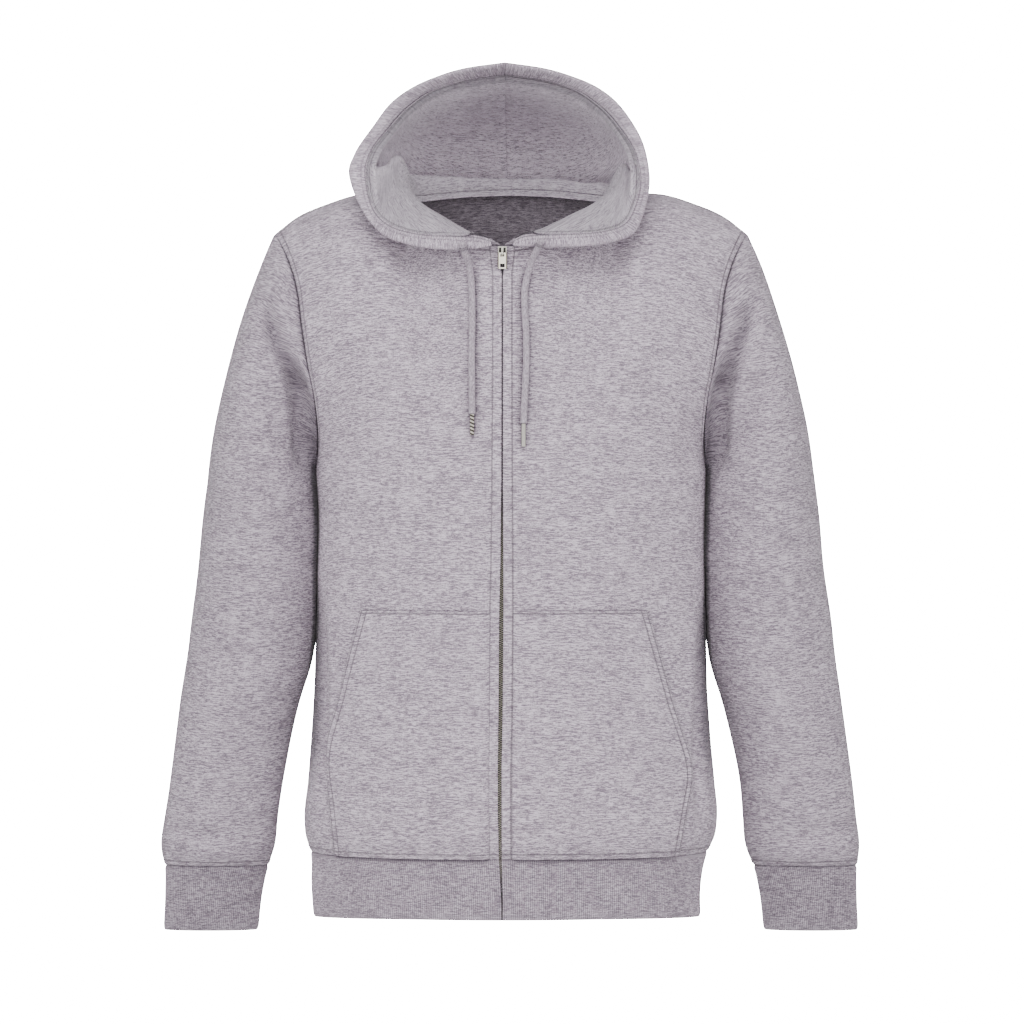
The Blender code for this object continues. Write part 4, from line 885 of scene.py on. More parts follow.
class Thread:
    """Gathers stitches and makes one piece of them."""

    def __init__(self):
        self.parts = []

    def sew(self, line, ways):
        """Stitches along a line of points."""
        self.parts.append(along_line(line, ways))

    def inset(self, points, ways, channel, distance, cut=slice(None)):
        """Stitches at a distance from one edge of a grid, or on a cut of that line."""
        line, way = inset(points, ways, channel, distance)
        self.sew(line[cut], way[cut])

    def make(self, name, material, radius=0.34):
        """One piece of all stitches so far."""
        starts, ends, ways = (np.concatenate([part[i] for part in self.parts]) for i in range(3))
        return strands(name, starts, ends, ways, radius, material)


def rib_band(name, rows, material, closed):
    """A rib band from level rows of points, top row first: whole ribs across, each a
    rounded ridge, over a plain inner face; both ends of the band drawn in a little."""
    length = np.linalg.norm(np.diff(rows[0], axis=0), axis=1).sum()
    count = int(round(length / RIB_PITCH)) * 4
    fine = []
    for row in rows:
        run = run_along(row)
        place = np.arange(count + (0 if closed else 1)) / count * run[-1]
        fine.append(at_run(place, run, row))
    fine = np.array(fine)[::-1]
    way = grid_normals(fine, closed)
    middle = fine.mean(axis=(0, 1))
    flip = np.sign((way * (fine - middle) * np.array([1, 1, 0])).sum())
    way = way * flip
    if flip < 0:
        fine, way = fine[:, ::-1], way[:, ::-1]
    wave = (0.5 - 0.5 * np.cos(np.arange(fine.shape[1]) / 4 * 2 * math.pi)) ** 0.8
    rim = rims(fine)
    ends = bell(rim[..., 2], 2.2) * 0.8 + bell(rim[..., 3], 1.6) * 0.9
    ridge = RIB_DEEP * (wave[None, :] * (1 - 0.6 * np.minimum(ends, 1)) - 0.5)
    outer = fine + way * (ridge - ends)[..., None]
    inner = fine - way * RIB_CLOTH
    outer[0] += unit(outer[1] - outer[0]) * 0.2
    longer = tucked((outer, inner, way), -1, 4.0, 0.7)
    piece = shell(name, longer[0], longer[1], material, closed)
    # the rib's wave, which the material reads to paint shade in the valleys
    shade = np.broadcast_to(wave[None, :, None], longer[0].shape[:2] + (4,)).reshape(-1, 4)
    lay_attribute(piece, "rib", np.concatenate([shade, shade]))
    return piece


def tube(name, rings, material, rim):
    """A closed tube through rings of points, its ends closed by rows of quads, with its
    own UV map and the edge distances given for it."""
    rows, columns = rings.shape[:2]
    number = np.arange(rows * columns).reshape(rows, columns)
    quads = [grid_quads(wrapped(number))]
    for ring in (number[0][::-1], number[-1]):
        quads.append(np.array([[ring[i], ring[i + 1], ring[columns - 2 - i], ring[columns - 1 - i]]
                               for i in range(columns // 2 - 1)]))
    piece = new_mesh(name, rings.reshape(-1, 3), np.concatenate(quads))
    run = run_along(rings.mean(1))
    around = np.linalg.norm(np.diff(wrapped(rings), axis=1), axis=-1).mean(0)
    around = np.concatenate([[0], np.cumsum(around)])[:-1]
    pairs = np.stack(np.broadcast_arrays(around[None, :], run[:, None]), axis=-1)
    lay_uv(piece, "cloth", pairs.reshape(-1, 2))
    lay_attribute(piece, "rim", rim)
    piece.data.materials.append(material)
    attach(piece, GARMENT)
    return piece


# ------------------------------------------------------------------ materials
class Nodes:
    """Short words for building a node tree."""

    def __init__(self, name, colour=(0.5, 0.5, 0.5), roughness=0.9, metallic=0.0):
        self.material = bpy.data.materials.new(name)
        self.material.use_nodes = True
        self.tree = self.material.node_tree
        self.shader = self.tree.nodes["Principled BSDF"]
        self.shader.inputs["Base Color"].default_value = (*colour, 1.0)
        self.shader.inputs["Roughness"].default_value = roughness
        self.shader.inputs["Metallic"].default_value = metallic

    def add(self, kind, **values):
        """A new node of a kind, with these settings."""
        node = self.tree.nodes.new("ShaderNode" + kind)
        for key, value in values.items():
            setattr(node, key, value)
        return node

    def put(self, value, socket):
        """Links an output to a socket, or sets the socket to a plain value."""
        if isinstance(value, bpy.types.NodeSocket):
            self.tree.links.new(value, socket)
        else:
            socket.default_value = value

    def math(self, operation, a, b=0.0, c=0.0):
        """One step of arithmetic on numbers or outputs."""
        node = self.add("Math", operation=operation)
        for value, socket in zip((a, b, c), node.inputs):
            self.put(value, socket)
        return node.outputs[0]

    def scaled(self, vector, scale, move=(0.0, 0.0, 0.0)):
        """A vector times a scale for each axis, then moved."""
        node = self.add("Mapping")
        self.put(vector, node.inputs["Vector"])
        node.inputs["Scale"].default_value = scale
        node.inputs["Location"].default_value = move
        return node.outputs[0]

    def noise(self, vector, scale, detail=2.0, rough=0.5, move=(0.0, 0.0, 0.0)):
        """Uneven values about 0.5, as fine along each axis as its scale."""
        node = self.add("TexNoise")
        self.put(self.scaled(vector, scale, move), node.inputs["Vector"])
        node.inputs["Scale"].default_value = 1.0
        node.inputs["Detail"].default_value = detail
        node.inputs["Roughness"].default_value = rough
        return node.outputs[0]

    def spread(self, value, low, high, to_low=0.0, to_high=1.0):
        """The value's range from low to high, drawn out to another range."""
        node = self.add("MapRange")
        for item, socket in zip((value, low, high, to_low, to_high), node.inputs):
            self.put(item, socket)
        return node.outputs[0]

    def mix(self, share, a, b, blend="MIX"):
        """Colour a with a share of colour b."""
        node = self.add("Mix", data_type="RGBA", blend_type=blend)
        self.put(share, node.inputs[0])
        self.put(a if isinstance(a, bpy.types.NodeSocket) else (*a, 1.0), node.inputs[6])
        self.put(b if isinstance(b, bpy.types.NodeSocket) else (*b, 1.0), node.inputs[7])
        return node.outputs[2]

    def parts(self, vector):
        """The three coordinates of a vector."""
        node = self.add("SeparateXYZ")
        self.put(vector, node.inputs[0])
        return tuple(node.outputs)

    def attribute(self, name):
        """The node that reads a named attribute of the mesh."""
        return self.add("Attribute", attribute_name=name, attribute_type="GEOMETRY")

    def crevice(self, reach, most):
        """Painted shade: how closed in a point is within a short reach, 0 in the open."""
        node = self.add("AmbientOcclusion", samples=8)
        node.inputs["Distance"].default_value = reach
        return self.spread(node.outputs["AO"], 0.95, 0.45, 0.0, most)

    def bump(self, height, distance, strength=1.0, before=None):
        """The normal of a surface with this height, in metres, on the one before it."""
        node = self.add("Bump")
        node.inputs["Strength"].default_value = strength
        node.inputs["Distance"].default_value = distance
        self.put(height, node.inputs["Height"])
        if before is not None:
            self.put(before, node.inputs["Normal"])
        return node.outputs[0]


MELANGE_LIGHT = (0.661, 0.578, 0.665)
MELANGE_MID = (0.378, 0.316, 0.380)
MELANGE_DARK = (0.203, 0.163, 0.206)
# colours of painted shade, in folds and in narrow crevices
FOLD_SHADE = (0.16, 0.15, 0.17)        # what is left of a colour in the deepest fold
CREVICE_SHADE = (0.20, 0.19, 0.21)     # and in the narrowest crevice
GREYER = 1.8                   # how much nearer to grey the fibres lie for each step of tint
KNIT_PITCH = 1.15


def melange(name, grooves=(), tone=1.0, knit=1.0, streak=1.0, ribs=False, tint=1.0):
    """Heather cloth: short level streaks of light and dark fibre, a fine knit and, at
    the given distances from the piece's edges, the grooves its stitching pulls in.
    Painted shade darkens the grooves, the valleys between ribs, narrow crevices and, by the attribute
    shade, folds and other places that less light reaches.
    Tone lightens all fibres, and tint brings them closer together and nearer to grey."""
    n = Nodes(name, roughness=0.95)
    uv = n.add("UVMap", uv_map="cloth").outputs[0]
    sway = n.noise(uv, (70.0, 45.0, 1.0), 1.0, 0.5, (5.5, 2.5, 0.0))
    lean = n.add("CombineXYZ")
    n.put(n.math("MULTIPLY", n.math("SUBTRACT", sway, 0.5), 0.0030), lean.inputs[1])
    level = n.add("VectorMath", operation="ADD")
    n.put(uv, level.inputs[0])
    n.put(lean.outputs[0], level.inputs[1])
    level = level.outputs[0]
    long_streak = n.noise(level, (85.0, 760.0, 1.0), 1.0, 0.5)
    short_streak = n.noise(level, (230.0, 1350.0, 1.0), 1.0, 0.5, (3.1, 7.7, 0.0))
    speck = n.noise(uv, (700.0, 1000.0, 1.0), 1.0, 0.5, (4.4, 0.7, 0.0))
    patch = n.noise(uv, (26.0, 80.0, 1.0), 2.0, 0.5, (9.3, 1.2, 0.0))
    total = n.math("MULTIPLY", long_streak, 0.32)
    for part, share in ((short_streak, 0.36), (speck, 0.22), (patch, 0.10)):
        total = n.math("ADD", total, n.math("MULTIPLY", part, share))
    fibres = ((MELANGE_LIGHT, tone / tint), (MELANGE_MID, tone * tint), (MELANGE_DARK, tone * tint))
    pale, middle, deep = (
        [(c + (sum(shade) / 3 - c) * (tint - 1) * GREYER) * share for c in shade]
        for shade, share in fibres
    )
    light = n.spread(total, 0.500, 0.500 + 0.062 / streak)
    dark = n.spread(total, 0.500, 0.500 - 0.070 / streak)
    colour = n.mix(light, middle, pale)
    colour = n.mix(dark, colour, deep)
    across = n.math("ABSOLUTE", n.parts(uv)[0])
    knit_rows = n.math("SINE", n.math("MULTIPLY", across, 2 * math.pi * 1000 / KNIT_PITCH))
    fuzz = n.noise(uv, (1500.0, 1500.0, 1.0), 2.0, 0.7)
    height = n.math("ADD", n.math("MULTIPLY", fuzz, 1.0), n.math("MULTIPLY", knit_rows, 0.16 * knit))
    height = n.math("ADD", height, n.math("MULTIPLY", total, 0.8))
    normal = n.bump(height, 0.00022, 0.7)
    if grooves:
        rim = n.attribute("rim")
        parts = n.add("SeparateColor")
        n.put(rim.outputs["Color"], parts.inputs[0])
        channels = [*parts.outputs[:3], rim.outputs["Alpha"]]
        sunk = 0.0
        for channel, distance in grooves:
            off = n.math("DIVIDE", n.math("SUBTRACT", channels[channel], distance), 0.55)
            bell = n.math("EXPONENT", n.math("MULTIPLY", n.math("MULTIPLY", off, off), -1.0))
            sunk = n.math("ADD", sunk, bell)
        sunk = n.math("MINIMUM", sunk, 1.0)
        normal = n.bump(n.math("MULTIPLY", sunk, -1.0), 0.0009, 0.9, normal)
        # painted shade in the stitch grooves
        colour = n.mix(n.math("MULTIPLY", sunk, 0.60), colour, [c * 0.38 * tone for c in MELANGE_MID])
    if ribs:
        # painted shade in the valleys between the ribs
        low = n.spread(n.attribute("rib").outputs["Fac"], 0.05, 0.75, 0.58, 0.0)
        colour = n.mix(low, colour, [c * 0.40 * tone for c in MELANGE_MID])
    # painted shade: darker by the attribute shade, and in narrow crevices by an occlusion node
    colour = n.mix(n.attribute("shade").outputs["Fac"], colour, FOLD_SHADE, "MULTIPLY")
    colour = n.mix(n.crevice(0.007, 0.80), colour, CREVICE_SHADE, "MULTIPLY")
    n.put(colour, n.shader.inputs["Base Color"])
    n.put(normal, n.shader.inputs["Normal"])
    n.shader.inputs["Sheen Weight"].default_value = 0.12
    n.shader.inputs["Sheen Roughness"].default_value = 0.6
    n.shader.inputs["Specular IOR Level"].default_value = 0.18
    return n.material


def plain(name, colour, roughness, metallic=0.0, grain=0.0, scale=900.0):
    """A one-coloured material with a fine uneven grain in its colour and surface."""
    n = Nodes(name, colour, roughness, metallic)
    spot = n.add("TexCoord").outputs["Object"]
    noise = n.noise(spot, (scale, scale, scale), 3.0, 0.6)
    dull, bright = ([min(1, c * share) for c in colour] for share in (1 - grain, 1 + grain))
    n.put(n.mix(n.spread(noise, 0.3, 0.7), dull, bright), n.shader.inputs["Base Color"])
    n.put(n.bump(noise, 0.0001, 0.4), n.shader.inputs["Normal"])
    return n.material


def braid(name, tone):
    """Round cord: heather fibre in strands that cross at a slant, with painted shade where they dip and
    in narrow crevices.
    """
    n = Nodes(name, roughness=0.95)
    spot = n.add("TexCoord").outputs["Object"]
    x, _, z = n.parts(spot)
    plaits = []
    for slant in (1, -1):
        down = n.math("MULTIPLY", z, 2 * math.pi / 0.0026)
        way = n.math("ADD", down, n.math("MULTIPLY", x, slant * 2 * math.pi / 0.0030))
        plaits.append(n.math("SINE", way))
    weave = n.math("MULTIPLY", plaits[0], plaits[1])
    fibre = n.noise(spot, (900.0, 900.0, 420.0), 2.0, 0.6)
    shade = n.math("ADD", n.math("MULTIPLY", weave, 0.10), fibre)
    dark = [c * tone * 0.72 for c in MELANGE_MID]
    colour = n.mix(n.spread(shade, 0.36, 0.66), dark, [c * tone * 0.86 for c in MELANGE_LIGHT])
    # painted shade in narrow crevices
    colour = n.mix(n.crevice(0.004, 0.75), colour, CREVICE_SHADE, "MULTIPLY")
    n.put(colour, n.shader.inputs["Base Color"])
    height = n.math("ADD", n.math("MULTIPLY", weave, 0.6), fibre)
    n.put(n.bump(height, 0.00035, 0.8), n.shader.inputs["Normal"])
    n.shader.inputs["Specular IOR Level"].default_value = 0.15
    return n.material


def zip_metal(name):
    """Teeth: metal of uneven tone where the fronts part, painted dark as shade where they cover them."""
    n = Nodes(name, roughness=0.4, metallic=1.0)
    spot = n.add("TexCoord").outputs["Object"]
    height = n.parts(spot)[2]
    # metres below the origin between which the fronts leave the teeth bare
    above, below = n.spread(height, -0.370, -0.310), n.spread(height, -0.655, -0.672)
    worn = n.mix(n.noise(spot, (1500.0, 1500.0, 1500.0)), (0.17, 0.16, 0.13), (0.50, 0.47, 0.40))
    # painted shade where the fronts cover the teeth
    colour = n.mix(n.math("MAXIMUM", above, below), worn, (0.045, 0.042, 0.040))
    n.put(colour, n.shader.inputs["Base Color"])
    return n.material


def slider_silver(name):
    """Silver plate, with painted shade in two patches where its throats lie beside its bridge."""
    silver = (0.60, 0.58, 0.52)
    n = Nodes(name, silver, 0.42, 1.0)
    x, _, z = n.parts(n.add("TexCoord").outputs["Object"])
    # painted shade of the throats: each patch lies 1 to 3 mm beside the middle and 79 to 87 mm below the
    # origin
    off = n.math("ABSOLUTE", n.math("SUBTRACT", x, ZIP_X * MM))
    wide = n.math("MULTIPLY", n.spread(off, 0.0009, 0.0012), n.spread(off, 0.0033, 0.0030))
    high = n.math("MULTIPLY", n.spread(z, -0.0872, -0.0868), n.spread(z, -0.0785, -0.0790))
    dark = n.math("MULTIPLY", wide, high)
    n.put(n.mix(dark, silver, (0.035, 0.033, 0.030)), n.shader.inputs["Base Color"])
    n.put(n.bump(n.math("MULTIPLY", dark, -1.0), 0.0008, 1.0), n.shader.inputs["Normal"])
    return n.material


def crimped_silver(name):
    """Silver sleeve rolled on in a spiral: slanting grooves, with painted shade in them."""
    n = Nodes(name, roughness=0.38, metallic=1.0)
    x, _, z = n.parts(n.add("TexCoord").outputs["Object"])
    slant = n.math("ADD", n.math("MULTIPLY", z, 2 * math.pi / 0.0034),
                   n.math("MULTIPLY", x, 2 * math.pi / 0.0075))
    groove = n.spread(n.math("SINE", slant), -0.25, 0.35)
    # painted shade in the grooves
    n.put(n.mix(groove, (0.10, 0.09, 0.08), (0.80, 0.76, 0.66)), n.shader.inputs["Base Color"])
    n.put(n.bump(groove, 0.0005, 1.0), n.shader.inputs["Normal"])
    return n.material


def pull_silver(name):
    """Polished tab, with painted shade along its rim."""
    n = Nodes(name, roughness=0.32, metallic=1.0)
    x = n.parts(n.add("TexCoord").outputs["Object"])[0]
    off = n.math("ABSOLUTE", n.math("SUBTRACT", x, ZIP_X * MM))
    rim = n.spread(off, 0.0031, 0.0036)
    # painted shade along the tab's rim
    n.put(n.mix(rim, (0.84, 0.79, 0.68), (0.14, 0.12, 0.10)), n.shader.inputs["Base Color"])
    return n.material


FLEECE_BODY = melange("heather_fleece", grooves=((0, 8.8), (3, 5.8), (2, 6.0), (1, 5.8)))
FLEECE_BACK = melange("heather_fleece_back", grooves=((0, 5.8), (1, 5.8), (3, 5.5), (2, 6.0)))
# painted shade: a darker copy of the cloth for the sleeves
FLEECE_SLEEVE_SHADED = melange("heather_fleece_sleeve_shaded", grooves=((2, 5.6), (3, 0.0)), tone=0.87)
FLEECE_HOOD = melange("heather_fleece_hood", grooves=((2, 5.5), (3, 0.0)), tone=1.0)
# painted light: a lighter copy of the hood's cloth for its inside, which less light reaches
HOOD_INSIDE_LIT = melange("heather_fleece_hood_inside_lit", grooves=((2, 5.0), (3, 0.0)), tone=1.62, tint=1.18)
FLEECE_EDGE = melange("heather_fleece_edge", grooves=((0, 0.0), (0, 3.4)), streak=0.7)
FLEECE_POCKET = melange("heather_fleece_pocket", grooves=((1, 2.2), (1, 7.6), (3, 2.4), (2, 5.2)))
# the fleece's reverse: darker as its own colour and as painted shade inside the garment
FLEECE_INSIDE = melange("fleece_reverse_and_shade", tone=0.52, streak=0.8)
RIB = melange("heather_rib_hem", tone=1.0, knit=0.0, streak=0.9, ribs=True)
# painted shade: a darker copy of the rib for the cuffs
RIB_CUFF_SHADED = melange("heather_rib_cuff", tone=0.84, knit=0.0, streak=0.9, ribs=True)
THREAD = plain("sewing_thread", (0.30, 0.255, 0.30), 0.8, grain=0.15)
TAPE = plain("zip_tape_weave", (0.060, 0.055, 0.058), 0.9, grain=0.25)
CORD = braid("heather_cord", 0.96)
TEETH = zip_metal("zip_teeth_metal")
SILVER = plain("silver_plate", (0.56, 0.54, 0.49), 0.40, 1.0, grain=0.06, scale=1800.0)
SLIDER = slider_silver("silver_slider")
PULL = pull_silver("silver_pull")
CRIMPED = crimped_silver("silver_crimped")
# painted shade: the eyelets' stitching is coloured darker than the other thread round where the cords go
# in
EYELET = plain("eyelet_stitching_shaded", (0.200, 0.172, 0.200), 0.85, grain=0.3, scale=1600.0)

threads = Thread()
skin = panel_skin()

# ------------------------------------------------------------------ body
LOW_ROWS = near_edges(104, 0.006, True, False)
HIGH_ROWS = near_edges(84, 0.010, False, True)
BODY_ROWS = np.concatenate([LOW_ROWS, 1 + HIGH_ROWS[1:]])
HALF_COLUMNS = near_edges(62, 0.010)
NECK_AT = int(np.abs(HALF_COLUMNS - NECK_SHARE).argmin())
HALF_COLUMNS[NECK_AT] = NECK_SHARE


def relief_grid(points, half):
    """A panel's grid moved out along its normals by its folds, which die at the seams."""
    way = panel_normals(points)
    rim = rims(points)
    calm = ease(rim[..., 2] / 12) * ease(rim[..., 3] / 12)
    outer_side = 1 if points[0, 0, 0] ** 2 < points[0, -1, 0] ** 2 else 0
    calm = calm * ease(rim[..., outer_side] / 12)
    out = body_relief(points[..., 0], points[..., 2], half) * calm
    return points + way * out[..., None]


bodies = {}
for side, word in SIDES:
    for half, label in ((FRONT, "front"), (BACK, "back")):
        grid = half_panel(side, half, BODY_ROWS, HALF_COLUMNS)
        bodies[label, word] = relief_grid(close_zip(grid) if half == FRONT else grid, half)

for side, word in SIDES:
    grid = bodies["front", word]
    grid = grid[:, ::-1] if side == RIGHT else grid
    outer, inner, way = thickened(grid, CLOTH, sewn=(side == RIGHT, side == LEFT, 1, 1))
    if side == RIGHT:
        # keep channel 0 as the zip edge on both fronts
        outer, inner, way = outer[:, ::-1], inner[:, ::-1], way[:, ::-1]
    bodies["front face", word] = (outer, way)
    piece = shell("cloth_front_" + word, outer, inner, FLEECE_BODY)
    # painted shade on the sides of the fronts, turned away below the arms
    side_shade = folds(outer[..., 0], outer[..., 2], SIDE_SHADE_STRIPS)
    lay_shade(piece, side_shade, side_shade)
    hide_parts("front_" + word)
    threads.inset(outer, way, 0, 8.8)
    threads.inset(outer, way, 1, 5.8, slice(len(LOW_ROWS), None))
    threads.inset(outer, way, 2, 6.0)
    threads.inset(outer, way, 3, 5.8, slice(0, NECK_AT))

grid = np.concatenate([bodies["back", "left"][:, ::-1], bodies["back", "right"][:, 1:]], axis=1)
outer, inner, way = thickened(grid, CLOTH)
wide = tucked_side(tucked_side((outer, inner, way), 0), -1)
piece = shell("cloth_back", wide[0], wide[1], FLEECE_BACK, tuck=(3, 3, 0, 0), inside=FLEECE_INSIDE)
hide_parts("back")
for channel in (0, 1):
    threads.inset(outer, way, channel, 5.8, slice(len(LOW_ROWS), None))
threads.inset(outer, way, 2, 6.0)
middle = grid.shape[1] // 2
neck_columns = slice(middle - NECK_AT, middle + NECK_AT)
threads.inset(outer, way, 3, 5.5, neck_columns)
threads.inset(inner, -way, 3, 5.0, neck_columns)

# ------------------------------------------------------------------ sleeves
CAP_ROWS = near_edges(60, 0.02, True, False)
TUBE_ROWS = near_edges(112, 0.012, False, True)
SLEEVE_ROWS = np.concatenate([CAP_ROWS, 1 + TUBE_ROWS[1:]])
AROUND = np.arange(132) / 132


def sleeve_relief(points, side, around):
    """Soft cross folds inside the elbow and above the cuff, slow swells elsewhere."""
    z = points[..., 2]
    angle = np.broadcast_to(around[None, :], z.shape) * 360
    total = swell(angle * MM_PER_DEGREE * side, z, 21 if side == RIGHT else 34, 95, 1.3)
    for width, depth, line in SLEEVE_CREASES[side]:
        line = [(a * MM_PER_DEGREE, h) for a, h in line]
        total = total + crease(angle * MM_PER_DEGREE, z, line, width, depth)
    return total


MM_PER_DEGREE = 1.1            # round a sleeve
SLEEVE_HUGS = 12.0             # its inner side is drawn to the body below the armpit
# Folds round the sleeves, by angle in degrees and height: width, depth and line.
SLEEVE_CREASES = {
    RIGHT: (
        (10, -3.0, ((60, -190), (110, -240), (150, -290))),
        (10, 2.0, ((50, -215), (95, -262), (140, -318))),
        (12, -2.4, ((95, -300), (130, -340), (165, -395))),
        (12, -2.0, ((70, -430), (110, -455), (150, -462))),
        (12, 1.8, ((60, -470), (110, -488), (160, -492))),
        (11, -1.8, ((80, -540), (120, -552), (165, -548))),
        (9, -2.2, ((20, -622), (70, -634), (120, -630))),
        (9, 1.9, ((60, -646), (110, -652), (165, -650))),
        (9, -2.0, ((200, -628), (260, -640), (320, -632))),
        (12, -2.4, ((230, -240), (260, -300), (250, -360))),
        (12, -2.2, ((210, -440), (260, -462), (310, -455))),
        (12, 1.8, ((215, -500), (265, -512), (320, -505))),
    ),
    LEFT: (
        (10, -3.0, ((62, -180), (112, -236), (150, -292))),
        (10, 2.2, ((52, -205), (98, -258), (140, -322))),
        (12, -2.2, ((92, -310), (128, -352), (165, -410))),
        (12, -2.0, ((60, -425), (105, -447), (150, -452))),
        (12, 1.6, ((70, -480), (118, -498), (165, -500))),
        (11, -1.6, ((70, -560), (115, -570), (165, -566))),
        (9, -2.3, ((20, -618), (80, -632), (130, -634))),
        (9, 1.8, ((50, -645), (110, -653), (160, -648))),
        (9, -2.0, ((200, -634), (260, -642), (330, -630))),
        (12, -2.4, ((225, -235), (262, -295), (255, -370))),
        (12, -2.2, ((205, -450), (255, -468), (310, -460))),
        (12, 1.8, ((220, -515), (270, -524), (325, -515))),
    ),
}

# Folds on the front of the sleeves, by x and height: the cloth laps over itself in a
# line that falls from the outside of the shoulder to the armpit.
SLEEVE_FRONT_FOLDS = {
    RIGHT: (
        (8, -11.0,
         ((-244, -112), (-233, -138), (-223, -163), (-207, -192), (-197, -212), (-194, -242))),
        (5, 3.0, ((-232, -108), (-219, -134), (-209, -158), (-200, -180))),
        (9, -13.0, ((-214, -176), (-204, -205), (-198, -236), (-195, -268), (-194, -300))),
        (9, -2.0, ((-262, -176), (-240, -208), (-214, -236), (-200, -268))),
        (9, 1.4, ((-258, -160), (-236, -190), (-212, -216))),
        (12, -1.8, ((-290, -330), (-262, -345), (-225, -352), (-200, -345))),
        (12, 1.5, ((-300, -352), (-268, -370), (-230, -378))),
        (12, -1.6, ((-305, -452), (-280, -462), (-240, -460))),
        (10, -1.8, ((-330, -626), (-300, -640), (-262, -640))),
        (9, 1.4, ((-325, -640), (-296, -652), (-255, -652))),
    ),
    LEFT: (
        (8, -11.0, ((238, -104), (224, -140), (209, -178), (195, -214), (192, -246))),
        (5, 3.0, ((226, -100), (211, -134), (201, -168))),
        (9, -13.0, ((214, -172), (203, -203), (197, -236), (194, -268), (193, -300))),
        (9, -2.0, ((258, -170), (236, -204), (212, -238), (199, -272))),
        (9, 1.4, ((254, -152), (232, -184), (209, -214))),
        (12, -1.7, ((292, -342), (262, -356), (226, -360), (202, -350))),
        (12, 1.4, ((300, -366), (268, -380), (232, -384))),
        (12, -1.6, ((308, -470), (282, -482), (244, -476))),
        (10, -1.8, ((332, -630), (300, -642), (264, -638))),
        (9, 1.4, ((326, -644), (298, -653), (258, -652))),
    ),
}

for side, word in SIDES:
    grid = sleeve_form(side, SLEEVE_ROWS, AROUND)
    hug = ease(1 - np.abs(AROUND - 0.56) / 0.26)[None, :] * ease(1 - np.abs(grid[..., 2] + 335) / 130)
    hug = hug * ease(SLEEVE_ROWS / 0.08)[:, None]
    grid[..., 0] -= side * SLEEVE_HUGS * hug
    inner_side = ease((0.40 - np.abs(AROUND - 0.5)) / 0.10)[None, :, None]
    room = 0.4 * ease(SLEEVE_ROWS / 0.18)[:, None]
    grid = grid + (set_clear(grid, skin, room) - grid) * inner_side
    for _ in range(12):
        grid[9:-1] = grid[9:-1] * 0.5 + (grid[8:-2] + grid[10:]) * 0.25
    grid = grid + (set_clear(grid, skin, room) - grid) * inner_side
    grid = grid[::-1]
    if side == LEFT:
        grid = grid[:, ::-1]
    around = AROUND[::-1] if side == LEFT else AROUND
    way = grid_normals(grid, True)
    rim = rims(grid)
    calm = ease(rim[..., 2] / 10) * ease(rim[..., 3] / 14)
    relief = sleeve_relief(grid, side, around) * calm
    front = ease(-way[..., 1] / 0.25) * ease(rim[..., 3] / 5)
    laps = folds(grid[..., 0], grid[..., 2], SLEEVE_FRONT_FOLDS[side]) * front
    grid = grid + way * (relief + laps)[..., None]
    height = grid[..., 2]
    # painted shade where the sleeve lies close to the body below the armpit, and in its lapped creases
    high_up = ease((height + 400) / 90)
    contact_shade = ease(1 - gap_to(grid, skin) / (6.0 + 10.0 * high_up))
    contact_shade = contact_shade * ease((-196 - height) / 44) * (0.30 + 0.40 * high_up)
    shade = contact_shade + np.clip(-laps / 30, 0, 0.30) * ease((-laps - 2) / 4)
    shade = np.concatenate([shade, shade[-1:], shade[-1:]])
    outer, inner, way = thickened(grid, CLOTH, True)
    longer = tucked((outer, inner, way), -1)
    piece = shell("cloth_sleeve_" + word, longer[0], longer[1], FLEECE_SLEEVE_SHADED, True, tuck=(0, 0, 0, 3))
    lay_shade(piece, shade, shade)
    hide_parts("sleeve_" + word)
    threads.inset(outer, way, 2, 5.6)

# ------------------------------------------------------------------ rib bands
heights = HEM_SEAM_Z - np.array(
    [0.15, 1.2, 3.0, 6.0, 11.0, 17.0, 24.0, 31.0, 38.0, 45.0, 51.0, 54.5, 56.2, 57.0])
share = np.linspace(0, 1, 90)
rows = []
for height in heights:
    level = np.full(share.shape, height)
    left_front = body_row(LEFT, FRONT, level, share)
    left_back = body_row(LEFT, BACK, level, share)[::-1][1:]
    right_back = body_row(RIGHT, BACK, level, share)[1:]
    right_front = body_row(RIGHT, FRONT, level, share)[::-1][1:]
    row = np.concatenate([left_front, left_back, right_back, right_front])
    down = ease((HEM_SEAM_Z - height) / (HEM_SEAM_Z - HEM_Z))
    row[:, 2] -= down * HEM_SAG * np.clip(1 - np.abs(row[:, 1] - SIDE_Y) / 100, 0, 1)
    rows.append(close_zip(row))
hem = rib_band("rib_hem", np.array(rows), RIB, False)
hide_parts("hem_rib")

heights = CUFF_SEAM_Z - np.array(
    [0.15, 1.2, 3.0, 6.5, 13.0, 21.0, 30.0, 39.0, 48.0, 56.0, 59.5, 61.2, 62.0])
for side, word in SIDES:
    place = np.arange(121) / 120
    rows = np.array([sleeve_ring(side, np.full(place.shape, height), place) for height in heights])
    cuff = rib_band("rib_cuff_" + word, rows, RIB_CUFF_SHADED, True)
    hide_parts("cuff_" + word)

# ------------------------------------------------------------------ hood
# Peaks and hollows of the roll behind the neck: place round the hood, width, height.
HOOD_PEAKS = {
    RIGHT: ((0.50, 0.045, 15.0), (0.80, 0.10, 2.0)),
    LEFT: ((0.48, 0.06, 8.0), (0.62, 0.06, -10.0), (0.74, 0.08, -6.0)),
}
HOOD_SAG = 5.0                 # of its ceiling
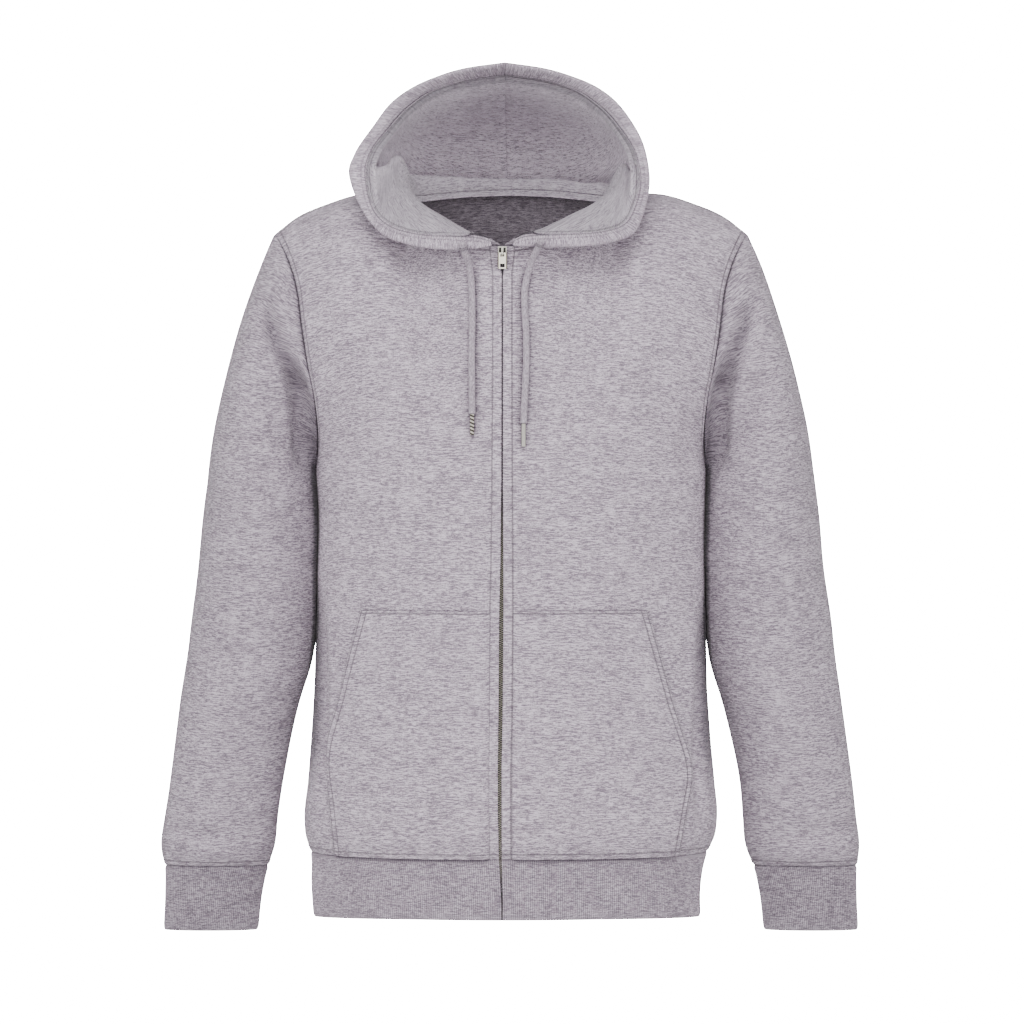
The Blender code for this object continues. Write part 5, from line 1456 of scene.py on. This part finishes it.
# Painted shade: how dark the parts of the hood are coloured that less light reaches.
ROLL_DIM, STRIP_DIM, LAPEL_DIM, GROOVE_DIM = 0.42, 0.60, 0.58, 0.60
HOOD_COLUMNS = near_edges(150, 0.006)
HOOD_OUT = np.concatenate([np.linspace(0, ROLL_AT, 12)[:-1], np.linspace(ROLL_AT, 1, 90)])
for side, word in SIDES:
    grid = hood_form(side, HOOD_COLUMNS, HOOD_OUT)
    for _ in range(36):
        grid[1:-1] = grid[1:-1] * 0.5 + (grid[:-2] + grid[2:]) * 0.25
    out, around = np.meshgrid(HOOD_OUT, HOOD_COLUMNS, indexing="ij")
    sag = np.sin(np.clip((out - 0.55) / 0.45, 0, 1) * math.pi) * ease((around - 0.4) / 0.4)
    grid[..., 2] -= HOOD_SAG * sag
    on_crest = bell(out - ROLL_AT, np.where(out < ROLL_AT, 0.07, 0.42)) * ease((1 - out) / 0.2)
    for place, wide, high in HOOD_PEAKS[side]:
        grid[..., 2] += high * on_crest * bell(around - place, wide)
    room = 2.0 * ease(HOOD_OUT / ROLL_AT)[:, None] * ease(HOOD_COLUMNS / 0.25)[None, :]
    grid[1:-1] = set_clear(grid[1:-1], skin, room[1:-1])
    if side == RIGHT:
        grid = grid[:, ::-1]
    outer, inner, way = thickened(grid, CLOTH)
    if side == RIGHT:
        outer, inner, way = outer[:, ::-1], inner[:, ::-1], way[:, ::-1]
    faces = tucked(tucked((outer, inner, way), 0, 3.0, 1.0), -1, 4.0, 0.8)
    if side == RIGHT:
        faces = tucked_side(faces, -1, 2.0, 0.9)
    name = "cloth_hood_" + word
    piece = shell(name, faces[0], faces[1], FLEECE_HOOD, tuck=(0, 0, 3, 4), inside=HOOD_INSIDE_LIT)
    # painted shade where less light reaches: the lapels, the strip before the roll, the bag
    # just above it and the groove beside the turned edge
    height = (grid[:, ::-1] if side == RIGHT else grid)[..., 2]
    behind = ease((around - 0.44) / 0.08)
    over = np.max(np.where(out < 0.3, height, -1e3), axis=0)
    roll = ROLL_DIM * bell(height - over - 3, 9) * ease((out - 0.40) / 0.1) * behind
    strip = STRIP_DIM * ease((0.30 - out) / 0.05) * behind
    lapel = LAPEL_DIM * ease((0.56 - around) / 0.10)
    groove = GROOVE_DIM * ease((out - 0.925) / 0.04)
    hood_shade = np.maximum.reduce([roll, strip, lapel, groove])
    hood_shade = np.pad(hood_shade, ((2, 2), (0, 2 if side == RIGHT else 0)), mode="edge")
    lay_shade(piece, 0 * hood_shade, hood_shade)
    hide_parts("hood_" + word)

EDGE_PLACES = np.concatenate([np.linspace(0, 0.12, 22)[:-1], np.linspace(0.12, 1, 190)])
EDGE_ROUND = 28
hood_threads = Thread()
for side, word in SIDES:
    sewn, free = hood_edge(side, EDGE_PLACES)
    run = unit(np.gradient((sewn + free) / 2, axis=0))
    flat = unit(free - sewn)
    thick = unit(np.cross(run, flat))
    sewn = sewn + flat * SEAM_GAP
    middle = (sewn + free) / 2
    wide = np.linalg.norm(free - sewn, axis=1) / 2
    slim = np.clip(0.45 + EDGE_PLACES / 0.12 * 0.55, 0, 1)
    angle = np.arange(EDGE_ROUND) / EDGE_ROUND * 2 * math.pi
    across = np.sign(np.cos(angle)) * np.abs(np.cos(angle)) ** 0.7
    deep = np.sign(np.sin(angle)) * np.abs(np.sin(angle)) ** 0.8
    rings = middle[:, None] + flat[:, None] * (across[None, :, None] * wide[:, None, None])
    rings = rings + thick[:, None] * (deep[None, :, None] * (TUNNEL_THICK / 2 * slim)[:, None, None])
    rings[-1, :, 0] = -6.0 - side * 0.3
    rim = np.full(rings.shape[:2] + (4,), 300.0)
    rim[..., 0] = (across[None] + 1) * wide[:, None]
    piece = tube("cloth_hood_edge_" + word, rings, FLEECE_EDGE, rim)
    for distance in (3.4, 7.4):
        for face in (1, -1):
            share = np.clip(distance / wide - 1, -1, 1)
            proud = TUNNEL_THICK / 2 * slim * (1 - np.abs(share) ** 2.6) ** 0.40
            line = middle + flat * (share * wide)[:, None] + thick * (face * proud)[:, None]
            hood_threads.sew(line[6:-2], thick[6:-2] * face)
    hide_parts("hood_edge_" + word)

# ------------------------------------------------------------------ pockets
for side, word in SIDES:
    rows = POCKET_RIGHT if side == RIGHT else POCKET_LEFT
    heights = POCKET_FOOT_Z + near_edges(84, 0.012) * (POCKET_TOP_Z - POCKET_FOOT_Z)
    edge = read(rows, heights, "height", "out")[:, 0]
    start = side * ZIP_X + POCKET_STARTS
    across = near_edges(70, 0.012)
    out = start + (edge[:, None] - start) * across[None, :]
    share = np.linspace(0, 1, 300)
    base = np.zeros(out.shape + (3,))
    for i, height in enumerate(heights):
        line = body_row(side, FRONT, np.full(share.shape, height), share)
        for axis in range(3):
            base[i, :, axis] = np.interp(out[i], line[:, 0] * side, line[:, axis])
    base = close_zip(base)
    way = grid_normals(base)
    way = way * np.sign(-way[..., 1:2].mean())
    calm = ease((base[..., 2] + 650) / 12)
    relief = body_relief(base[..., 0], base[..., 2], FRONT) * calm
    rim = rims(base)
    lift = 1.6 * bell(rim[..., 1], 9) * ease((heights + 600) / 60)[:, None]
    low = base + way * (POCKET_GAP + relief + lift)[..., None]
    high = low + way * POCKET_CLOTH
    # edge, where the bell stands, its width and how far the outer face comes up there
    flat = -(POCKET_CLOTH + POCKET_GAP - 0.2)
    forms = ((1, 0, 1.2, -0.7), (3, 0, 1.2, -0.7), (2, 2.6, 1.3, 0.5), (0, 0, 3.0, flat))
    for channel, at, wide, up in forms:
        high = high + way * (bell(rims(high)[..., channel] - at, wide) * up)[..., None]
    low = low - way * (bell(rims(low)[..., 0], 3.0) * (POCKET_GAP + 0.8))[..., None]
    piece = shell("cloth_pocket_" + word, high, low, FLEECE_POCKET)
    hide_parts("pocket_" + word)
    for channel, distance in ((1, 2.2), (1, 7.6), (3, 2.4), (2, 5.2)):
        threads.inset(high, way, channel, distance)

threads_piece = threads.make("topstitching", THREAD)
threads_piece = hood_threads.make("topstitching_hood", THREAD, 0.30)

# ------------------------------------------------------------------ drawstrings
EYELET_Z = {RIGHT: -78.5, LEFT: -75.5}
EYELET_THICK = 0.75
EYELET_RINGS, EYELET_SIDES = 28, 10
eyelet_at = {}
for side, word in SIDES:
    rows = CORD_RIGHT if side == RIGHT else CORD_LEFT
    face = bodies["front face", word][0]
    route = np.zeros((len(rows["x"]), 3))
    for i, (x, height) in enumerate(zip(rows["x"], rows["height"])):
        column = np.array([at_run(height, face[:, c, 2], face[:, c]) for c in range(face.shape[1])])
        order = np.argsort(column[:, 0])
        y = np.interp(x, column[order, 0], column[order, 1])
        route[i] = (x, y - CORD_RADIUS - rows["lift"][i], height)
    run = run_along(route)
    smooth = read({"run": run, "x": route[:, 0], "y": route[:, 1], "z": route[:, 2]},
                  np.linspace(0, run[-1], 30), "run", "x", "y", "z")
    curve = bpy.data.curves.new("drawstring_" + word, "CURVE")
    curve.dimensions = "3D"
    curve.bevel_depth = CORD_RADIUS * MM
    curve.bevel_resolution = 6
    curve.use_fill_caps = True
    spline = curve.splines.new("POLY")
    spline.points.add(len(smooth) - 1)
    for point, place in zip(spline.points, smooth * MM):
        point.co = (place[0], place[1], place[2], 1.0)
    curve.materials.append(CORD)
    cord = bpy.data.objects.new("cord_" + word, curve)
    bpy.context.scene.collection.objects.link(cord)
    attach(cord, GARMENT)
    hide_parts("drawstring_" + word)
    at = int(np.abs(smooth[:, 2] - EYELET_Z[side]).argmin())
    eyelet_at[word] = (smooth[at], smooth[at + 1] - smooth[at - 1])

# ------------------------------------------------------------------ eyelets
def ring_rows(centre, axis, radius, thick):
    """A torus: circles of the given thickness carried round a circle across the axis."""
    axis = unit(np.asarray(axis, float))
    first = unit(np.cross(axis, [1.0, 0.2, 0.1]))
    second = np.cross(axis, first)
    turn = np.arange(EYELET_RINGS) / EYELET_RINGS * 2 * math.pi
    roll = np.arange(EYELET_SIDES) / EYELET_SIDES * 2 * math.pi
    out = first * np.cos(turn)[:, None] + second * np.sin(turn)[:, None]
    rows = centre + out[:, None] * (radius + thick * np.cos(roll))[None, :, None]
    return rows + axis * (thick * np.sin(roll))[None, :, None]


for side, word in SIDES:
    centre, axis = eyelet_at[word]
    number = wrapped(np.arange(EYELET_RINGS * EYELET_SIDES).reshape(EYELET_RINGS, EYELET_SIDES))
    quads = grid_quads(wrapped(number.T))
    rows = ring_rows(centre, axis, CORD_RADIUS + EYELET_THICK, EYELET_THICK)
    ring = new_mesh("eyelet_" + word, rows.reshape(-1, 3), quads)
    ring.data.materials.append(EYELET)
    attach(ring, GARMENT)

# ------------------------------------------------------------------ zip
def zip_face(height):
    """Where the two fronts' edges stand at a height: the depth of the zip line."""
    found = []
    for _, word in SIDES:
        edge = bodies["front face", word][0][:, 0]
        found.append(np.interp(height, edge[:, 2], edge[:, 1]))
    return (found[0] + found[1]) / 2


TOP_OF_TEETH = -91.0
FIRST_TOOTH_Z = HEM_Z + 14.0
TOOTH_PITCH = 2.05
TEETH_BEHIND = 2.0             # the fronts' edges
PIN_FOOT_Z = HEM_Z + 0.4
PIN_TALL = 26.0                # closes the chain below the lowest tooth
zip_heights = np.concatenate([[HEM_Z + 1.0, -690.0, -670.0], np.linspace(-650.0, -84.0, 200)])
hem_front = read(BODY, np.minimum(zip_heights, HEM_SEAM_Z), "height", "front")[:, 0]
zip_depth = np.where(zip_heights < HEM_SEAM_Z, -hem_front, zip_face(zip_heights))
zip_middle = zip_line(zip_heights)[0]
for side, word in SIDES:
    near = np.stack([zip_middle + side * 0.3, zip_depth + 3.1, zip_heights], axis=-1)
    far = near + np.array([side * TAPE_WIDE, 0.4, 0.0])
    share = np.linspace(0, 1, 8)[None, :, None]
    grid = near[:, None] * (1 - share) + far[:, None] * share
    grid = grid[:, ::-1] if side == RIGHT else grid
    piece = shell("tape_" + word, grid, grid + np.array([0, 0.8, 0]), TAPE)
    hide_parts("zip_tape_" + word)


def tooth(side):
    """One tooth pointing at the zip line: a block that narrows to a rounded head."""
    profile = [(2.4, 0.30), (1.7, 0.36), (1.1, 0.40), (0.5, 0.42), (0.15, 0.38), (0.0, 0.20)]
    rings = []
    for x, half in profile:
        section = ((-0.7, -half), (-1.0, 0.0), (-0.7, half), (1.2, half), (1.2, -half))
        rings.append([(side * x, y, z) for y, z in section])
    return np.array(rings)


def teeth_rows():
    """Both rows of teeth, every other one from the other side, following the zip's depth,
    and the pin below them. A tooth's ends are closed over four of their five corners."""
    points, quads, start = [], [], 0
    heights = np.arange(FIRST_TOOTH_Z, TOP_OF_TEETH, TOOTH_PITCH / 2)
    for i, height in enumerate(heights):
        middle = np.interp(height, zip_heights, zip_middle)
        y = np.interp(height, zip_heights, zip_depth)
        rings = tooth(RIGHT if i % 2 else LEFT) + np.array([middle, y + TEETH_BEHIND, height])
        number = np.arange(rings.shape[0] * 5).reshape(-1, 5) + start
        quads += [grid_quads(wrapped(number)), number[:1, :4], number[-1:, :4]]
        points.append(rings.reshape(-1, 3))
        start += number.size
    middle, _ = zip_line(PIN_FOOT_Z)
    y = np.interp(PIN_FOOT_Z, zip_heights, zip_depth) + TEETH_BEHIND
    points.append(np.array([(middle + x, y + deep, PIN_FOOT_Z + up) for up in (0.0, PIN_TALL)
                            for x, deep in ((-1.1, -0.4), (0.9, -0.4), (0.9, 1.2), (-1.1, 1.2))]))
    number = np.arange(8) + start
    walls = [number[[k, (k + 1) % 4, 4 + (k + 1) % 4, 4 + k]] for k in range(4)]
    quads.append(np.array([*walls, number[[3, 2, 1, 0]], number[[4, 5, 6, 7]]]))
    piece = new_mesh("teeth", np.concatenate(points), np.concatenate(quads), smooth=False)
    piece.data.materials.append(TEETH)
    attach(piece, GARMENT)
    return piece


teeth = teeth_rows()
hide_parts("zip_chain")
METALS = {"zip_slider": SLIDER, "zip_pull": PULL, "cord_tip_right": CRIMPED, "cord_tip_left": SILVER}
for node, metal in METALS.items():
    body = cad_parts[node]
    body.data.materials.clear()
    body.data.materials.append(metal)

# ------------------------------------------------------------------ floor, light, camera
def studio():
    """White sweep, pale floor, soft light from above the front, from both sides and from below."""
    scene = bpy.context.scene
    bpy.ops.mesh.primitive_circle_add(vertices=96, radius=2.6, fill_type="NGON", location=(0, 0, -1.15))
    floor = bpy.context.object
    floor.name = "studio_floor"
    pale = Nodes("studio_floor_pale", (0.86, 0.86, 0.86), 0.9)
    floor.data.materials.append(pale.material)
    world = bpy.data.worlds.new("studio")
    scene.world = world
    world.use_nodes = True
    tree = world.node_tree
    background = tree.nodes["Background"]
    background.inputs["Color"].default_value = (1.0, 1.0, 1.0, 1.0)
    # brighter ahead of the garment than behind it
    way = tree.nodes.new("ShaderNodeSeparateXYZ")
    tree.links.new(tree.nodes.new("ShaderNodeTexCoord").outputs["Generated"], way.inputs[0])
    ahead = tree.nodes.new("ShaderNodeMapRange")
    for value, socket in zip((-0.4, 0.5, 0.62, 0.25), ahead.inputs[1:5]):
        socket.default_value = value
    tree.links.new(way.outputs[1], ahead.inputs[0])
    tree.links.new(ahead.outputs[0], background.inputs["Strength"])
    white = tree.nodes.new("ShaderNodeBackground")
    white.inputs["Color"].default_value = (1.0, 1.0, 1.0, 1.0)
    white.inputs["Strength"].default_value = 30.0
    path = tree.nodes.new("ShaderNodeLightPath")
    mix = tree.nodes.new("ShaderNodeMixShader")
    tree.links.new(path.outputs["Is Camera Ray"], mix.inputs[0])
    tree.links.new(background.outputs[0], mix.inputs[1])
    tree.links.new(white.outputs[0], mix.inputs[2])
    tree.links.new(mix.outputs[0], tree.nodes["World Output"].inputs["Surface"])
    # name, place, the point it is turned to, size in metres and power in watts
    for name, place, aim, size, power in (
            ("key", (-0.2, -2.4, 2.0), (0, 0, -0.30), 1.8, 66.0),
            ("left", (-2.7, -1.9, 0.4), (0, 0, -0.35), 1.6, 42.0),
            ("right", (2.7, -1.9, 0.3), (0, 0, -0.35), 1.6, 38.0),
            ("front", (0.0, -3.6, -0.6), (0, 0, -0.25), 2.0, 30.0)):
        light = bpy.data.lights.new(name, "AREA")
        light.size = size
        light.energy = power
        lamp = bpy.data.objects.new(name, light)
        lamp.location = place
        way = np.array(aim, float) - np.array(place, float)
        down = math.atan2(math.hypot(way[0], way[1]), -way[2])
        lamp.rotation_euler = (down, 0, math.atan2(way[0], -way[1]) + math.pi)
        scene.collection.objects.link(lamp)
    camera = bpy.data.cameras.new("camera")
    camera.lens = 146.5
    camera.sensor_width = 36.0
    eye = bpy.data.objects.new("camera", camera)
    eye.location = (0.001, -4.0, -0.3254)
    eye.rotation_euler = (math.pi / 2, 0, 0)
    scene.collection.objects.link(eye)
    scene.camera = eye


studio()
